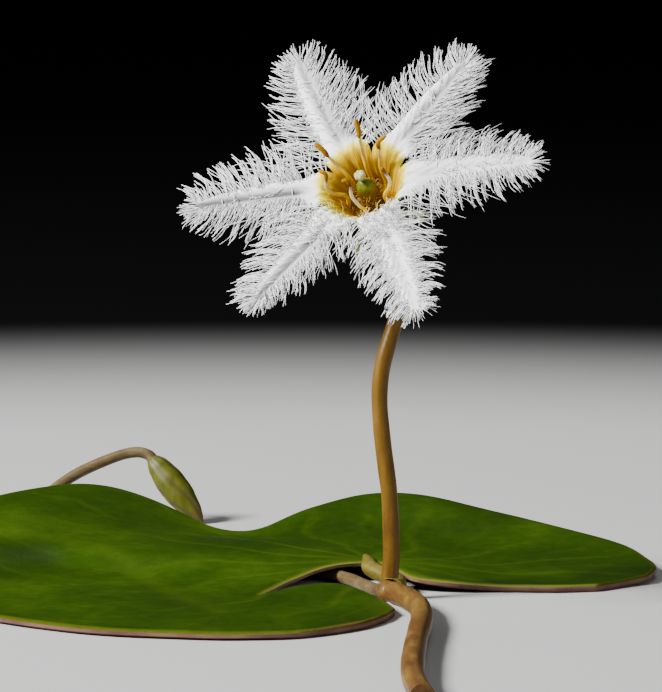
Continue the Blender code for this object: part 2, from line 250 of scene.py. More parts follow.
class Finish:
    def __init__(self, name, colour, roughness, specular=0.5):
        self.material = bpy.data.materials.new(name)
        self.material.use_nodes = True
        self.tree = self.material.node_tree
        self.shader = self.tree.nodes["Principled BSDF"]
        self.shader.inputs["Base Color"].default_value = (*colour, 1.0)
        self.shader.inputs["Roughness"].default_value = roughness
        self.shader.inputs["Specular IOR Level"].default_value = specular
        self.material.diffuse_color = (*colour, 1.0)

    def node(self, kind, inputs, out=0, **settings):
        made = self.tree.nodes.new("ShaderNode" + kind)
        for key, value in settings.items():
            setattr(made, key, value)
        for key, value in inputs.items():
            self.feed(made.inputs[key], value)
        return Wire(self, made.outputs[out])

    def feed(self, socket, value):
        if isinstance(value, Wire):
            self.tree.links.new(value.socket, socket)
        elif socket.type == "RGBA" and len(value) == 3:
            socket.default_value = (*value, 1.0)
        else:
            socket.default_value = value

    def give(self, socket, value):
        self.feed(self.shader.inputs[socket], value)

    def places(self, stretch=(1.0, 1.0, 1.0)):
        # object coordinates in millimetres, stretched as asked
        spot = self.node("TexCoord", {}, "Object")
        return self.node("Mapping", {0: spot, 3: tuple(part / mm for part in stretch)}, vector_type="POINT")

    def flowerPlaces(self):
        # the same in the flower's own axes, from the middle of its throat
        spot = self.node("TexCoord", {}, "Object")
        inputs = {0: spot, 1: tuple(flower["centre"] * mm), 2: tuple(flowerTurn.to_euler()), 3: (mm, mm, mm)}
        return self.node("Mapping", inputs, vector_type="TEXTURE")

    def parts(self, vector):
        outputs = self.node("SeparateXYZ", {0: vector}).socket.node.outputs
        return [Wire(self, outputs[number]) for number in range(3)]

    def distance(self, vector, x, y):
        # how far places are from an upright line through x, y
        placeX, placeY, _ = self.parts(vector)
        squares = (placeX - x) ** 2.0 + (placeY - y) ** 2.0
        return squares.maths("SQRT", squares)

    def turnRound(self, vector):
        placeX, placeY, _ = self.parts(vector)
        return placeY.maths("ARCTAN2", placeY, placeX)

    def noise(self, vector, scale, detail=3.0, roughness=0.55):
        inputs = {"Vector": vector, "Scale": scale, "Detail": detail, "Roughness": roughness}
        return self.node("TexNoise", inputs)

    def mix(self, share, first, second):
        return self.node("Mix", {0: share, 6: first, 7: second}, 2, data_type="RGBA")

    def ramp(self, value, stops):
        made = self.node("ValToRGB", {0: value})
        elements = made.socket.node.color_ramp.elements
        while len(elements) < len(stops):
            elements.new(0.5)
        for element, (place, colour) in zip(elements, stops):
            element.position = place
            element.color = (*colour, 1.0)
        return made

    def mark(self, name):
        return self.node("Attribute", {}, "Fac", attribute_name=name)

    def bump(self, height, strength, distance):
        inputs = {"Height": height, "Strength": strength, "Distance": distance * mm}
        self.give("Normal", self.node("Bump", inputs))

    def paint(self, colour):
        self.ground = colour
        self.give("Base Color", colour)

    def layer(self, share, colour):
        # lays a share of another colour over the present one
        self.paint(self.mix(share, self.ground, colour))

    def patchy(self, vector, scale, detail, stops):
        # paints the shader from one noise, and hands on the noise
        patches = self.noise(vector, scale, detail)
        self.paint(self.ramp(patches, stops))
        return patches


# Camera, light and floor

camera = {"place": (-4.23, -296.84, 47.21), "down": 5.5, "lens": 213.815, "sensor": 36.0,
          "clip": (0.01, 20.0)}
bpy.ops.object.camera_add(location=[part * mm for part in camera["place"]],
                          rotation=(math.radians(90 - camera["down"]), 0.0, 0.0))
eye = bpy.context.object
eye.data.lens = camera["lens"]
eye.data.sensor_width = camera["sensor"]
eye.data.clip_start, eye.data.clip_end = camera["clip"]
bpy.context.scene.camera = eye

lights = {
    "key": {"place": (-0.56, -0.24, 0.46), "aim": (0.0, 0.0, 0.025), "side": 0.2, "power": 22.5},
    "fill": {"place": (0.55, -0.35, 0.25), "aim": (0.0, 0.0, 0.02), "side": 0.45, "power": 1.5},
    "top": {"place": (0.05, 0.25, 0.6), "aim": (0.0, 0.0, 0.02), "side": 0.3, "power": 0.9},
}
for name, light in lights.items():
    bpy.ops.object.light_add(type="AREA", location=light["place"])
    lamp = bpy.context.object
    lamp.name = name
    lamp.data.size = light["side"]
    lamp.data.energy = light["power"]
    lamp.rotation_euler = (Vector(light["aim"]) - Vector(light["place"])).to_track_quat("-Z", "Y").to_euler()

studio = {"colour": (0.8, 0.86, 0.95, 1.0), "strength": 0.035}
world = bpy.data.worlds.new("studio")
bpy.context.scene.world = world
world.use_nodes = True
world.node_tree.nodes["Background"].inputs["Color"].default_value = studio["colour"]
world.node_tree.nodes["Background"].inputs["Strength"].default_value = studio["strength"]

# painted light: the floor is pale round the middle and fades to near black further out, a painted pool of
# light
floorLook = {"side": 12.0, "near": (0.36, 0.36, 0.354), "far": (0.0032, 0.0032, 0.0035),
             "middle": (-8.0, 5.0), "fade": (95.0, 225.0)}
bpy.ops.mesh.primitive_plane_add(size=floorLook["side"], location=(0.0, 0.0, 0.0))
floor = named(bpy.context.object, "floor")
floorFinish = Finish("floorPale", floorLook["near"], 1.0, 0.0)
paintedFloorFalloff = floorFinish.distance(floorFinish.places(), *floorLook["middle"]).between(*floorLook["fade"])
floorFinish.paint(floorFinish.mix(paintedFloorFalloff, floorLook["near"], floorLook["far"]))
floor.data.materials.append(floorFinish.material)
print("stage ready")


# The flower's own axes: z runs out of its throat, and all its pieces are made in millimetres there

flower = {"centre": Vector((-1.81, -4.0, 30.55)), "faces": Vector((-0.32, -0.71, 0.627))}
flowerTurn = flower["faces"].to_track_quat("Z", "Y")
flowerRows = np.array(flowerTurn.to_matrix())


def toFlower(places):
    return (np.asarray(places) @ flowerRows.T + np.array(flower["centre"])) * mm


# The leaf: a fan of ribs from its notch to its margin, as the CAD leaf, with veins and a thin rim

leaf = {
    "ribs": [
        ((0.35, -7.2), (-0.3, -9.9)), ((-0.1, -4.8), (-2.2, -13.6)), ((-0.9, -2.0), (-6.0, -17.0)),
        ((-3.4, 2.2), (-9.5, -17.9)), ((-6.5, 1.6), (-14.2, -17.65)), ((-9.3, -1.6), (-22.3, -15.0)),
        ((-7.9, 2.2), (-31.4, -6.8)), ((-6.3, 5.0), (-36.0, 4.0)), ((-5.0, 6.8), (-36.8, 12.0)),
        ((-3.8, 7.9), (-36.0, 19.5)), ((-2.9, 8.35), (-33.0, 26.0)), ((-2.1, 8.6), (-28.5, 31.5)),
        ((-1.4, 8.65), (-23.5, 34.0)), ((-0.9, 8.55), (-17.5, 32.0)), ((-0.45, 8.35), (-11.3, 27.0)),
        ((0.0, 7.9), (-5.8, 32.0)), ((0.4, 7.1), (0.5, 35.5)), ((0.9, 5.7), (7.5, 33.0)),
        ((2.0, 3.9), (14.0, 27.5)), ((4.6, 3.2), (18.4, 21.0)), ((8.8, 3.3), (20.0, 15.0)),
        ((12.4, 3.1), (20.4, 11.0)), ((15.4, 3.7), (19.5, 7.5)),
    ],
    "rise": [
        (-8, -8, 0), (-16, -11, 0), (-25, -7, 0), (-2, -9, 0), (-0.9, -2, 0), (-3.4, 2.2, 0.15),
        (-6.4, 1.6, 0.15), (-16, 0, 0), (-27, 2, 0.2), (-9.3, -1.6, 0.15), (-7.9, 2.5, 0.5), (-6.3, 5, 0.9),
        (-4.2, 7.6, 1.4), (-2, 8.7, 1.5), (-0.2, 8.2, 1.4), (1.1, 5.2, 1), (2.6, 3.6, 0.6), (5.4, 3.2, 0.15),
        (8.3, 3.3, 0), (12, 3.1, 0), (15.2, 3.6, 0.1), (20, 8.6, 0.4), (-8.5, 13, 1.5), (-15, 19, 1.6),
        (-21, 25.5, 2.1), (-25.5, 31, 3.6), (-24, 34, 4.6), (-30, 30, 3.6), (-34.5, 23, 2.8),
        (-36.5, 14, 1.7), (-36, 5, 0.7), (-33, -3.5, 0.15), (-18.5, 33, 2.4), (-14, 28.5, 0.65),
        (-11, 26, 0.25), (-8, 30, 1.7),
        (-5.8, 32, 2.5), (-1, 35.5, 3.2), (3, 35, 2.9), (9, 32, 1.9), (13.3, 29, 1.4), (17, 24, 1.05),
        (19.5, 17, 0.85), (5, 18, 0), (12, 12, 0), (2, 27, 1.1), (10, 22, 0.2), (15, 15, 0.2), (-3, 16, 0.7),
    ],
    "spread": 3.8,
    "bedding": 0.15,
    "thickness": 0.62,
    "rim": 0.35,
    "rimWidth": 0.7,
    "steps": 264,
    "stepLength": 0.33,
    "rows": 44,
    "veinsFrom": (-1.4, 8.6),
    "mainVeins": 7.0,
    "forkedVeins": 14.0,
    "forksFrom": 11.0,
    "veinDepth": 0.035,
    "foldDepth": 0.05,
    "softFold": [
        (-31.0, 17.5), (-26.0, 16.0), (-21.9, 13.8), (-19.1, 9.0), (-16.9, 3.5), (-14.6, -3.5), (-12.0, -9.0),
    ],
}


def leafHeight(x, y):
    rise = np.array(leaf["rise"], float)
    squares = (x[:, None] - rise[:, 0]) ** 2 + (y[:, None] - rise[:, 1]) ** 2
    weights = np.exp(-squares / (2 * leaf["spread"] ** 2))
    return np.maximum(weights @ rise[:, 2] / (weights.sum(1) + 1e-9) - leaf["bedding"], 0.0)


def veinsAt(x, y):
    # 1 on a vein, 0 between: main veins fan out from the stalk and fork once on their way
    main, forked = leaf["mainVeins"], leaf["forkedVeins"]
    dx, dy = x - leaf["veinsFrom"][0], y - leaf["veinsFrom"][1]
    far = np.hypot(dx, dy)
    turn = np.arctan2(dy, dx)
    turn = turn + 0.05 * np.sin(far * 0.33 + turn * 3) + 0.03 * np.sin(far * 0.7)
    toMain = np.abs(np.sin(turn * main)) * far / main
    toFork = np.abs(np.sin(turn * forked + 0.4)) * far / forked
    width = 0.2 + 0.25 * np.exp(-far / 9)
    strong = np.exp(-(toMain / width) ** 2) * np.clip(1.15 - far / 34, 0.25, 1)
    weak = np.exp(-(toFork / 0.18) ** 2) * clamped((far - leaf["forksFrom"]) / 7) * 0.45
    return np.maximum(strong, weak)


blade, share, across = gridPiece("leafBlade", leaf["steps"], leaf["rows"])
inner = alongRoute([rib[0] for rib in leaf["ribs"]], share)
outer = alongRoute([rib[1] for rib in leaf["ribs"]], share)
plan = inner + (outer - inner) * across[:, None]
planX, planY = plan.T
height = leafHeight(planX, planY)
span = np.linalg.norm(outer - inner, axis=1)
toEnds = np.minimum(share, 1 - share) * leaf["steps"] * leaf["stepLength"]
toRim = np.minimum(np.minimum(across, 1 - across) * span, toEnds)
veins = veinsAt(planX, planY)
foldLine = alongRoute(leaf["softFold"], np.linspace(0, 1, 80))
toFold = np.sqrt(((plan[:, None] - foldLine) ** 2).sum(2).min(1))
ripple = 0.05 * np.sin(planX * 0.55 + planY * 0.21) * np.sin(planY * 0.47 - planX * 0.12)
setCorners(blade, np.column_stack([plan, height]) * mm)
# the vein mark also holds painted light: a pale band along the soft fold, where the leaf's slope turns
markCorners(blade, toRim=toRim, toNotch=np.minimum(across * span, toEnds + 3),
            vein=np.maximum(veins, 0.6 * np.exp(-(toFold / 0.9) ** 2)))

leafTop = Finish("leafTop", (0.051, 0.126, 0.009), 0.42, 0.09)
spots = leafTop.places()
blotches = leafTop.noise(spots, 0.09, 4.0)
fine = leafTop.noise(spots, 1.1, 5.0, 0.6)
cells = leafTop.node("TexVoronoi", {"Vector": spots, "Scale": 2.6}, feature="DISTANCE_TO_EDGE")
rimShare = leafTop.mark("toRim").between(0.75, 0.1) * (0.35 + 0.6 * fine)
# painted highlight: a pale yellow-green band along the edge of the notch
notchHighlight = leafTop.mark("toNotch").between(0.42, 0.1) * 0.7
lobeTip = leafTop.distance(spots, -1.5, -10.5).between(8.5, 3.5)
brownShare = lobeTip * leafTop.mark("toRim").between(1.1, 0.2) * fine.between(0.36, 0.5) * 0.85
leafTop.paint(leafTop.ramp(blotches + (fine - 0.5) * 0.3, [
    (0.3, (0.008, 0.022, 0.0)), (0.52, (0.014, 0.036, 0.0)), (0.72, (0.026, 0.055, 0.001))]))
# lighter veins, and painted light along the fold line
leafTop.layer(leafTop.mark("vein") * 0.3, (0.057, 0.089, 0.005))
leafTop.layer(rimShare, (0.078, 0.084, 0.005))
leafTop.layer(notchHighlight, (0.115, 0.136, 0.016))
leafTop.layer(brownShare, (0.105, 0.057, 0.016))
leafTop.give("Roughness", 0.34 + 0.2 * fine)
leafTop.bump(fine * 0.5 + cells.between(0.0, 0.12) * 0.5, 0.25, 0.05)

leafUnder = Finish("leafUnder", (0.128, 0.048, 0.04), 0.5, 0.25)
patches = leafUnder.patchy(leafUnder.places(), 0.35, 4.0, [
    (0.35, (0.088, 0.032, 0.032)), (0.55, (0.144, 0.068, 0.048)), (0.72, (0.16, 0.12, 0.048))])
leafUnder.bump(patches, 0.3, 0.08)
for skin in (leafTop, leafUnder):
    blade.data.materials.append(skin.material)
mend(blade, merge=False)
facePlace(blade, (0.0, 0.0, 1.0))
shapeWith(blade, "SOLIDIFY", thickness=leaf["thickness"] * mm, offset=1.0,
          material_offset=1, material_offset_rim=1)
made = corners(blade)
upper, lower = slice(0, len(share)), slice(len(share), 2 * len(share))
if made[upper, 2].mean() < made[lower, 2].mean():
    upper, lower = lower, upper
near = 1 - clamped(toRim / leaf["rimWidth"])
fullness = leaf["rim"] + (1 - leaf["rim"]) * np.sqrt(1 - near ** 2)
relief = leaf["veinDepth"] * veins - np.clip(ripple, -0.1, 0.0)
dips = (relief + leaf["foldDepth"] * np.exp(-(toFold / 1.2) ** 2)) * clamped(toRim / 1.5)
made[upper, 2] = (height + leaf["thickness"] * (0.55 + 0.45 * fullness) - dips) * mm
made[lower, 2] = (height + leaf["thickness"] * 0.55 * (1 - fullness)) * mm
setCorners(blade, made)
shadeSmooth(blade, 1.0)
finishPiece(blade, None, "leaf_blade", "leaf")
print("leaf done", len(blade.data.polygons))


# Stalks and stem: faint ribs run along each, "thins" says from where and by how much it narrows,
# and the tints are its light, middle and dark streaks and its specks

stalks = {
    "flowerStalkSkin": {
        "node": "flower_stalk", "slot": "stalk_skin", "radius": 0.62, "thins": (0.0, 0.08),
        "route": [
            (0.05, 0.0, 1.7), (0.17, 0.0, 3.4), (0.12, 0.0, 5.7), (0.0, 0.0, 7.9), (-0.2, 0.0, 9.5),
            (-0.42, 0.0, 11.2), (-0.6, 0.0, 12.9), (-0.7, 0.0, 14.4), (-0.68, 0.02, 15.8), (-0.48, 0.1, 17.2),
            (-0.15, 0.25, 18.5), (0.3, 0.55, 19.9), (0.75, 1.05, 21.5), (1.05, 1.75, 23.4), (0.9, 1.95, 25.0),
            (0.27, 0.62, 26.47), (-0.36, -0.78, 27.71),
        ],
        "steps": 150, "around": 28, "ribs": (7, 0.014, 1.0),
        "finish": "stalkBrown", "stretch": (1.0, 1.0, 0.12), "roughness": 0.42,
        "tints": [(0.154, 0.083, 0.01), (0.117, 0.055, 0.003), (0.067, 0.029, 0.002), (0.037, 0.015, 0.002)],
    },
    "leafStalkSkin": {
        "node": "leaf_stalk", "slot": "stem_skin", "radius": 0.62, "thins": (0.6, 0.62),
        "route": [
            (0.45, 1.5, 0.72), (0.75, 3.0, 0.72), (0.4, 4.8, 0.82), (-0.7, 6.3, 1.05), (-1.3, 7.3, 1.3),
            (-1.42, 8.3, 1.5), (-1.5, 9.3, 1.62), (-1.6, 10.4, 1.66),
        ],
        "steps": 80, "around": 24, "ribs": (6, 0.02, 2.0),
        "finish": "leafStalkOlive", "stretch": (1.0, 0.3, 1.0), "roughness": 0.42,
        "tints": [(0.146, 0.152, 0.018), (0.102, 0.079, 0.011), (0.061, 0.028, 0.009), (0.036, 0.015, 0.006)],
    },
    "stemSkin": {
        "node": "stem", "slot": "stem_skin", "radius": 0.79, "thins": (0.0, 0.0),
        "route": [
            (0.3, -1.55, 0.82), (1.25, -4.2, 0.82), (2.0, -8.2, 0.82), (2.1, -13.5, 0.82), (1.7, -20.0, 0.82),
            (1.25, -28.0, 0.82), (1.05, -36.0, 0.82), (1.5, -43.5, 0.82),
        ],
        "steps": 150, "around": 28, "ribs": (8, 0.02, 3.0),
        "finish": "stemRed", "stretch": (1.0, 0.15, 1.0), "roughness": 0.42,
        "tints": [(0.146, 0.091, 0.018), (0.097, 0.045, 0.01), (0.052, 0.02, 0.006), (0.03, 0.011, 0.006)],
    },
    "budStalkSkin": {
        "node": "bud_stalk", "slot": "stem_skin", "radius": 0.45, "thins": (0.0, 0.0),
        "route": [
            (-0.5, 0.8, 0.55), (-0.74, 1.1, 0.52), (-1.7, 3.6, 0.5), (-3.4, 7.8, 0.5), (-8.2, 13.4, 0.52),
            (-15.0, 19.3, 0.55), (-21.0, 25.5, 0.6), (-25.5, 31.2, 0.65), (-28.0, 35.6, 0.9),
            (-28.3, 38.8, 1.8), (-26.9, 40.8, 3.0), (-24.8, 41.5, 4.25), (-22.0, 41.8, 5.4),
            (-20.4, 41.8, 5.75), (-19.4, 41.65, 5.55), (-18.95, 41.48, 5.1),
        ],
        "steps": 150, "around": 18, "ribs": (5, 0.03, 4.0),
        "finish": "budStalkBrown", "stretch": (0.4, 0.4, 1.0), "roughness": 0.5,
        "tints": [(0.133, 0.102, 0.043), (0.091, 0.061, 0.024), (0.049, 0.03, 0.011), (0.03, 0.018, 0.011)],
    },
}


def stalkShape(stalk):
    thinsFrom, thinsBy = stalk["thins"]
    ribs, ribDepth, phase = stalk["ribs"]

    def shape(along, turn):
        rib = 1 + ribDepth * np.cos(turn * ribs + 0.8 * np.sin(along * 9 + phase))
        uneven = 1 + 0.018 * np.sin(along * 23 + phase) + 0.012 * np.sin(along * 51 + 2 * phase)
        return rib * uneven * (1 - thinsBy * clamped((along - thinsFrom) / (1 - thinsFrom)))
    return shape


def stalkFinish(stalk):
    light, middle, dark, speck = stalk["tints"]
    skin = Finish(stalk["finish"], middle, stalk["roughness"], 0.22)
    streaks = skin.noise(skin.places(stalk["stretch"]), 1.6, 4.0, 0.6)
    grains = skin.noise(skin.places(), 5.5)
    patches = skin.noise(skin.places(), 0.28)
    skin.paint(skin.ramp(streaks * 0.55 + patches * 0.45, [(0.34, dark), (0.5, middle), (0.66, light)]))
    skin.layer(grains.between(0.6, 0.72) * 0.6, speck)
    skin.give("Roughness", stalk["roughness"] - 0.1 + 0.2 * grains)
    skin.bump(streaks * 0.7 + grains * 0.3, 0.35, 0.06)
    return skin


stalkSkins = {}
for name, stalk in stalks.items():
    stalkSkins[name] = stalkFinish(stalk)
    sizes = stalk["radius"], stalk["steps"], stalk["around"]
    piece = stalkPiece(name, stalk["route"], *sizes, stalkShape(stalk))
    finishPiece(piece, stalkSkins[name], stalk["slot"], stalk["node"])
finishPiece(finerCopy("stem_node", "stemJoint"), stalkSkins["stemSkin"], "stem_skin", "stem_node")
print("stalks done")


# The bud: a spindle of five overlapping sepals with ribs down it

bud = {
    "top": (-19.25, 41.6, 5.45),
    "tip": (-14.8, 39.9, 0.05),
    "radius": 1.25,
    "widths": [
        (0.0, 0.0), (0.01, 0.3), (0.13, 0.72), (0.36, 0.98), (0.6, 0.95), (0.83, 0.6), (0.96, 0.24),
        (1.0, 0.0),
    ],
    "folds": 5,
    "foldDepth": 0.07,
    "steps": 96,
    "around": 60,
}
budBody, along, roll = gridPiece("budBody", bud["steps"], bud["around"])
turn = roll * fullTurn
axis = np.array(bud["tip"]) - np.array(bud["top"])
length = np.linalg.norm(axis)
axis = axis / length
sideOne = unit(np.cross(axis, (0.0, 0.0, 1.0)))
sideTwo = np.cross(axis, sideOne)
twist = turn + along * 1.1
foldLines = np.abs(np.cos(twist * bud["folds"] / 2))
budAt, budWide = np.array(bud["widths"]).T
softWidth = sum(np.interp(clamped(along + step), budAt, budWide) / 9 for step in np.linspace(-0.04, 0.04, 9))
softWidth = softWidth * clamped(np.minimum(along, 1 - along) / 0.02) ** 0.5
reach = softWidth * bud["radius"] * (1 - bud["foldDepth"] * foldLines ** 6 + 0.012 * np.cos(twist * 25))
places = (np.array(bud["top"]) + along[:, None] * length * axis
          + reach[:, None] * (np.cos(turn)[:, None] * sideOne + np.sin(turn)[:, None] * sideTwo))
setCorners(budBody, places * mm)
markCorners(budBody, along=along, fold=foldLines ** 10)
mend(budBody)
shadeSmooth(budBody)
budGreen = Finish("budGreen", (0.094, 0.098, 0.009), 0.5, 0.3)
patches = budGreen.patchy(budGreen.places((1.0, 1.0, 0.4)), 1.3, 4.0, [
    (0.35, (0.046, 0.055, 0.0)), (0.55, (0.075, 0.079, 0.0)), (0.72, (0.102, 0.098, 0.002))])
budGreen.layer(budGreen.mark("fold") * 0.55, (0.046, 0.025, 0.006))
budGreen.layer(budGreen.mark("along").between(0.8, 1.0) * 0.7, (0.14, 0.07, 0.02))
budGreen.bump(patches, 0.3, 0.06)
finishPiece(budBody, budGreen, "bud_skin", "bud")
print("bud done")


# The petals: a satin blade with a crease, and its fringe of hairs as one joined mesh
# "each" has a value for each petal, anticlockwise from the right-hand one as seen from the front,
# and a pair is for the petal's anticlockwise and its clockwise side

petals = {
    "each": {
        "axis": [12.0, 64.5, 128.5, 191.0, 243.3, 305.2],
        "reach": [14.1, 13.3, 14.7, 14.1, 13.4, 14.6],
        "lift": [0.35, 0.3, 0.3, 0.35, 0.35, 0.3],
        "rise": [0.85, 0.9, 0.9, 0.8, 0.8, 0.9],
        "swing": [-1.0, -0.35, -0.35, 0.6, 0.2, -0.6],
        "fullness": [(1.1, 0.98), (1.56, 1.08), (1.48, 1.2), (1.12, 1.76), (0.92, 1.28), (0.95, 0.92)],
        "locks": [(12, 17), (15, 20), (15, 22), (22, 11), (17, 13), (16, 15)],
        "leans": [(0.1, 0.02), (0.34, 0.7), (0.5, 0.45), (0.1, 0.15), (0.65, 0.45), (0.3, 0.35)],
        "bareFrom": [(0.0, 0.0), (0.74, 0.35), (0.74, 0.3), (0.0, 0.2), (0.0, 0.2), (0.0, 0.0)],
        "endTrim": [(0.0, 0.0), (0.0, 0.0), (0.1, 0.0), (0.0, 0.0), (0.32, 0.0), (0.12, 0.0)],
        "slim": [(1.0, 0.75), (1.0, 0.7), (1.0, 0.75), (0.5, 1.0), (0.6, 1.0), (0.9, 0.9)],
        "shadedHalf": [(0.35, 0.45), (0.0, 1.0), (0.0, 0.9), (0.6, 0.0), (0.6, 0.0), (0.25, 0.1)],
        "barbs": [(60, 56), (14, 44), (14, 54), (84, 56), (66, 52), (66, 66)],
        "barbLeans": [(0.6, 0.3), (1.1, 1.2), (1.0, 1.2), (0.3, 0.9), (0.95, 1.0), (0.8, 0.8)],
        "looseReach": [1.05, 1.2, 1.2, 1.1, 0.82, 0.85],
        "strays": [20, 12, 8, 8, 6, 8],
        "down": [0, 0, 0, 0, 90, 150],
        "footLift": [0.1, 0.0, 0.0, 0.0, 0.28, 0.42],
        "creaseShade": [0.45, 0.9, 0.8, 1.1, 1.0, 0.3],
    },
    "start": 2.95,
    "clawFoot": 1.85,
    "clawGap": 0.3,
    "clawTop": 3.4,
    "clawDrop": 2.0,
    "clawEnd": 3.6,
    "ridge": 0.17,
    "faceHeight": 0.27,
    "halfWidth": 1.38,
    "arch": 0.03,
    "roof": 0.5,
    "thickness": 0.2,
    "crease": 0.55,
    "teeth": 4.4,
    "steps": 210,
    "rows": 44,
    "bladeSeed": 90,
}
fringe = {
    "layers": [
        {"tilt": (-0.1, 0.18), "lean": 0.0, "roots": (0.94, 1.08), "hairs": 66, "reach": 1.0, "deep": 0.08,
         "off": 0.0, "thinned": 0.6},
        {"tilt": (0.12, 0.4), "lean": 0.1, "roots": (0.6, 0.98), "hairs": 24, "reach": 0.84, "deep": 0.03,
         "off": 0.3, "thinned": 0.95},
        {"tilt": (0.4, 0.85), "lean": 0.05, "roots": (0.3, 0.85), "hairs": 18, "reach": 0.6, "deep": 0.03,
         "off": 0.55, "thinned": 1.2},
    ],
    "sideHair": 2.7,
    "endHair": 1.5,
    "short": 18,
    "loose": 16,
    "fan": 60,
    "fanLocks": 12,
    "fanTurn": 1.35,
    "deep": 0.03,
    "radius": 0.0378,
    "taper": 0.7,
    "points": 11,
    "seed": 40,
}
# how often each wave turns along a hair, and its share of the size
hairWaves = ((0.7, 0.6), (1.5, 0.42), (2.6, 0.22))
bladeWaves = {"turns": (0.9, 1.7, 2.9), "size": 0.035, "pleats": 0.02}


def oneOf(group, number):
    return {key: values[number] for key, values in group["each"].items()}


def petalOf(number):
    petal = oneOf(petals, number)
    petal["number"] = number
    petal["length"] = petal["reach"] - fringe["endHair"] - petals["start"]
    return petal


def bladeShare(petal, x):
    return clamped((x - petals["start"]) / petal["length"])


def bladeHalf(share):
    wide = petals["halfWidth"] * (1 + 0.2 * np.exp(-(share / 0.13) ** 2))
    return wide * (1.0 - 0.3 * share ** 2) * np.sqrt(clamped(1.0 - 0.86 * share ** 6))


def slimmer(petal, x, aside):
    # how much narrower the blade is on its hairier side, past its claw
    return 1 - (1 - np.where(aside > 0, *petal["slim"])) * clamped((x - petals["clawEnd"]) / 1.2)


def lockCentres(petal, side):
    # where the locks of one side spring from, as shares of the blade's length
    locks = petal["locks"][side]
    lock = np.arange(locks)
    return np.minimum((lock + 0.5 + 0.3 * np.sin(lock * 2.4 + petal["number"] + side)) / locks, 0.99)


def bladeTop(petal, x, y, half):
    # the upper face of a flat petal: a claw down the throat, a crease and a roof that falls to both margins
    foot = clamped((petals["clawTop"] - np.hypot(x, y)) / (petals["clawTop"] - petals["clawFoot"]))
    opening = clamped((x - 3.3) / 1.6)
    dip = petals["crease"] * (1 - 0.5 * bladeShare(petal, x)) * np.exp(-(np.abs(y) / 0.45) ** 1.6)
    lumps = 0.8 - 0.2 * np.cos(2 * fullTurn * y / half) * clamped(4.3 - x)
    bulge = petal["footLift"] * lumps * np.exp(-((x - petals["clawEnd"]) / 0.9) ** 2)
    bulge = bulge * (1 - 0.6 * (y / half) ** 2)
    sink = opening * (dip + petals["roof"] * np.abs(y / half) ** 2.5)
    return petals["faceHeight"] + bulge - petals["clawDrop"] * foot ** 2 - sink


def bentOver(petal, places):
    # takes places on a flat petal to the petal as it curves in the flower's axes
    x, y, z = places[..., 0], places[..., 1], places[..., 2]
    along = (x - petals["start"]) / (petal["reach"] - petals["start"])
    height = z + 4 * petal["lift"] * along * (1 - along) + petal["rise"] * along ** 2
    height = height - petals["arch"] * y ** 2
    side = y + petal["swing"] * along ** 2
    cosine, sine = math.cos(math.radians(petal["axis"])), math.sin(math.radians(petal["axis"]))
    return toFlower(np.stack([x * cosine - side * sine, x * sine + side * cosine, height], -1))


def petalBlade(petal):
    number, length, start = petal["number"], petal["length"], petals["start"]
    piece, along, across = gridPiece(f"petalBlade{number + 1}", petals["steps"], petals["rows"])
    across = across * 2 - 1
    x = petals["clawFoot"] + (start + length + 0.1 - petals["clawFoot"]) * along
    share = bladeShare(petal, x)
    # no wider than the line halfway to the next petal, and a little less where the claws part
    axes = petals["each"]["axis"]
    toNext = math.radians((axes[(number + 1) % petalCount] - axes[number]) % 360 / 2)
    toLast = math.radians((axes[number] - axes[number - 1]) % 360 / 2)
    claw = x * np.where(across > 0, math.tan(toNext), math.tan(toLast))
    claw = claw - petals["clawGap"] * clamped((x - 2.4) / 0.8) + 0.02
    claw = np.where(x > petals["clawEnd"], np.inf, claw)
    tipRound = np.sqrt(clamped(1 - ((x - start - length + 0.9).clip(0) / 1.01) ** 2))
    half = np.minimum(np.minimum(bladeHalf(share), claw), 1.2 * petals["halfWidth"] * tipRound + 0.02)
    half = half * slimmer(petal, x, across)
    teeth = np.zeros_like(x)
    for side, towards in ((0, across > 0), (1, across <= 0)):
        centres = lockCentres(petal, side)
        nearest = np.abs(share[:, None] - centres).min(1) * len(centres) * 2
        teeth += towards * petals["teeth"] / len(centres) * clamped(1 - nearest) ** 0.8
    y = across * half * (1 + teeth * np.abs(across) ** 4 * clamped((x - 3.2) / 0.8))
    z = bladeTop(petal, x, y, half)
    ridges = 0.5 - 0.5 * np.cos(across * 2 * fullTurn + 0.25 * np.sin(x * 2.3 + number))
    z += petals["ridge"] * (ridges - 0.4) * clamped(4.1 - x) * clamped((x - petals["clawFoot"]) / 0.3)
    chance = np.random.default_rng(petals["bladeSeed"] + number)
    for turns in bladeWaves["turns"]:
        phaseX, phaseY = chance.uniform(0, 6), chance.uniform(0, 6)
        z += bladeWaves["size"] / turns * np.sin(x * turns + phaseX) * np.cos(y * turns * 1.4 + phaseY)
    z += bladeWaves["pleats"] * np.sin(np.abs(y) * 15 - x * 6 + number) * (1 - np.abs(across) ** 4)
    setCorners(piece, bentOver(petal, np.column_stack([x, y, z])))
    # painted shade: a grey trough along the midline and a grey hairier half, where the light leaves the blade
    # in shade, are marked as crease
    troughShade = petal["creaseShade"] * np.exp(-(np.abs(y) / 0.42) ** 1.6)
    shadedHalf = np.where(across > 0, *petal["shadedHalf"]) * clamped(np.abs(across) * 4) * (1 - 0.5 * share)
    markCorners(piece, ridge=1 - clamped((4.9 - x) / 1.6) * (1 - ridges),
                crease=clamped((x - petals["clawEnd"]) / 1.6) * np.maximum(troughShade, shadedHalf))
    mend(piece, merge=False)
    facePlace(piece, toFlower((0.0, 0.0, 1.0 / mm)))
    shapeWith(piece, "SOLIDIFY", thickness=petals["thickness"] * mm, offset=-1.0)
    shadeSmooth(piece, 1.0)
    return piece


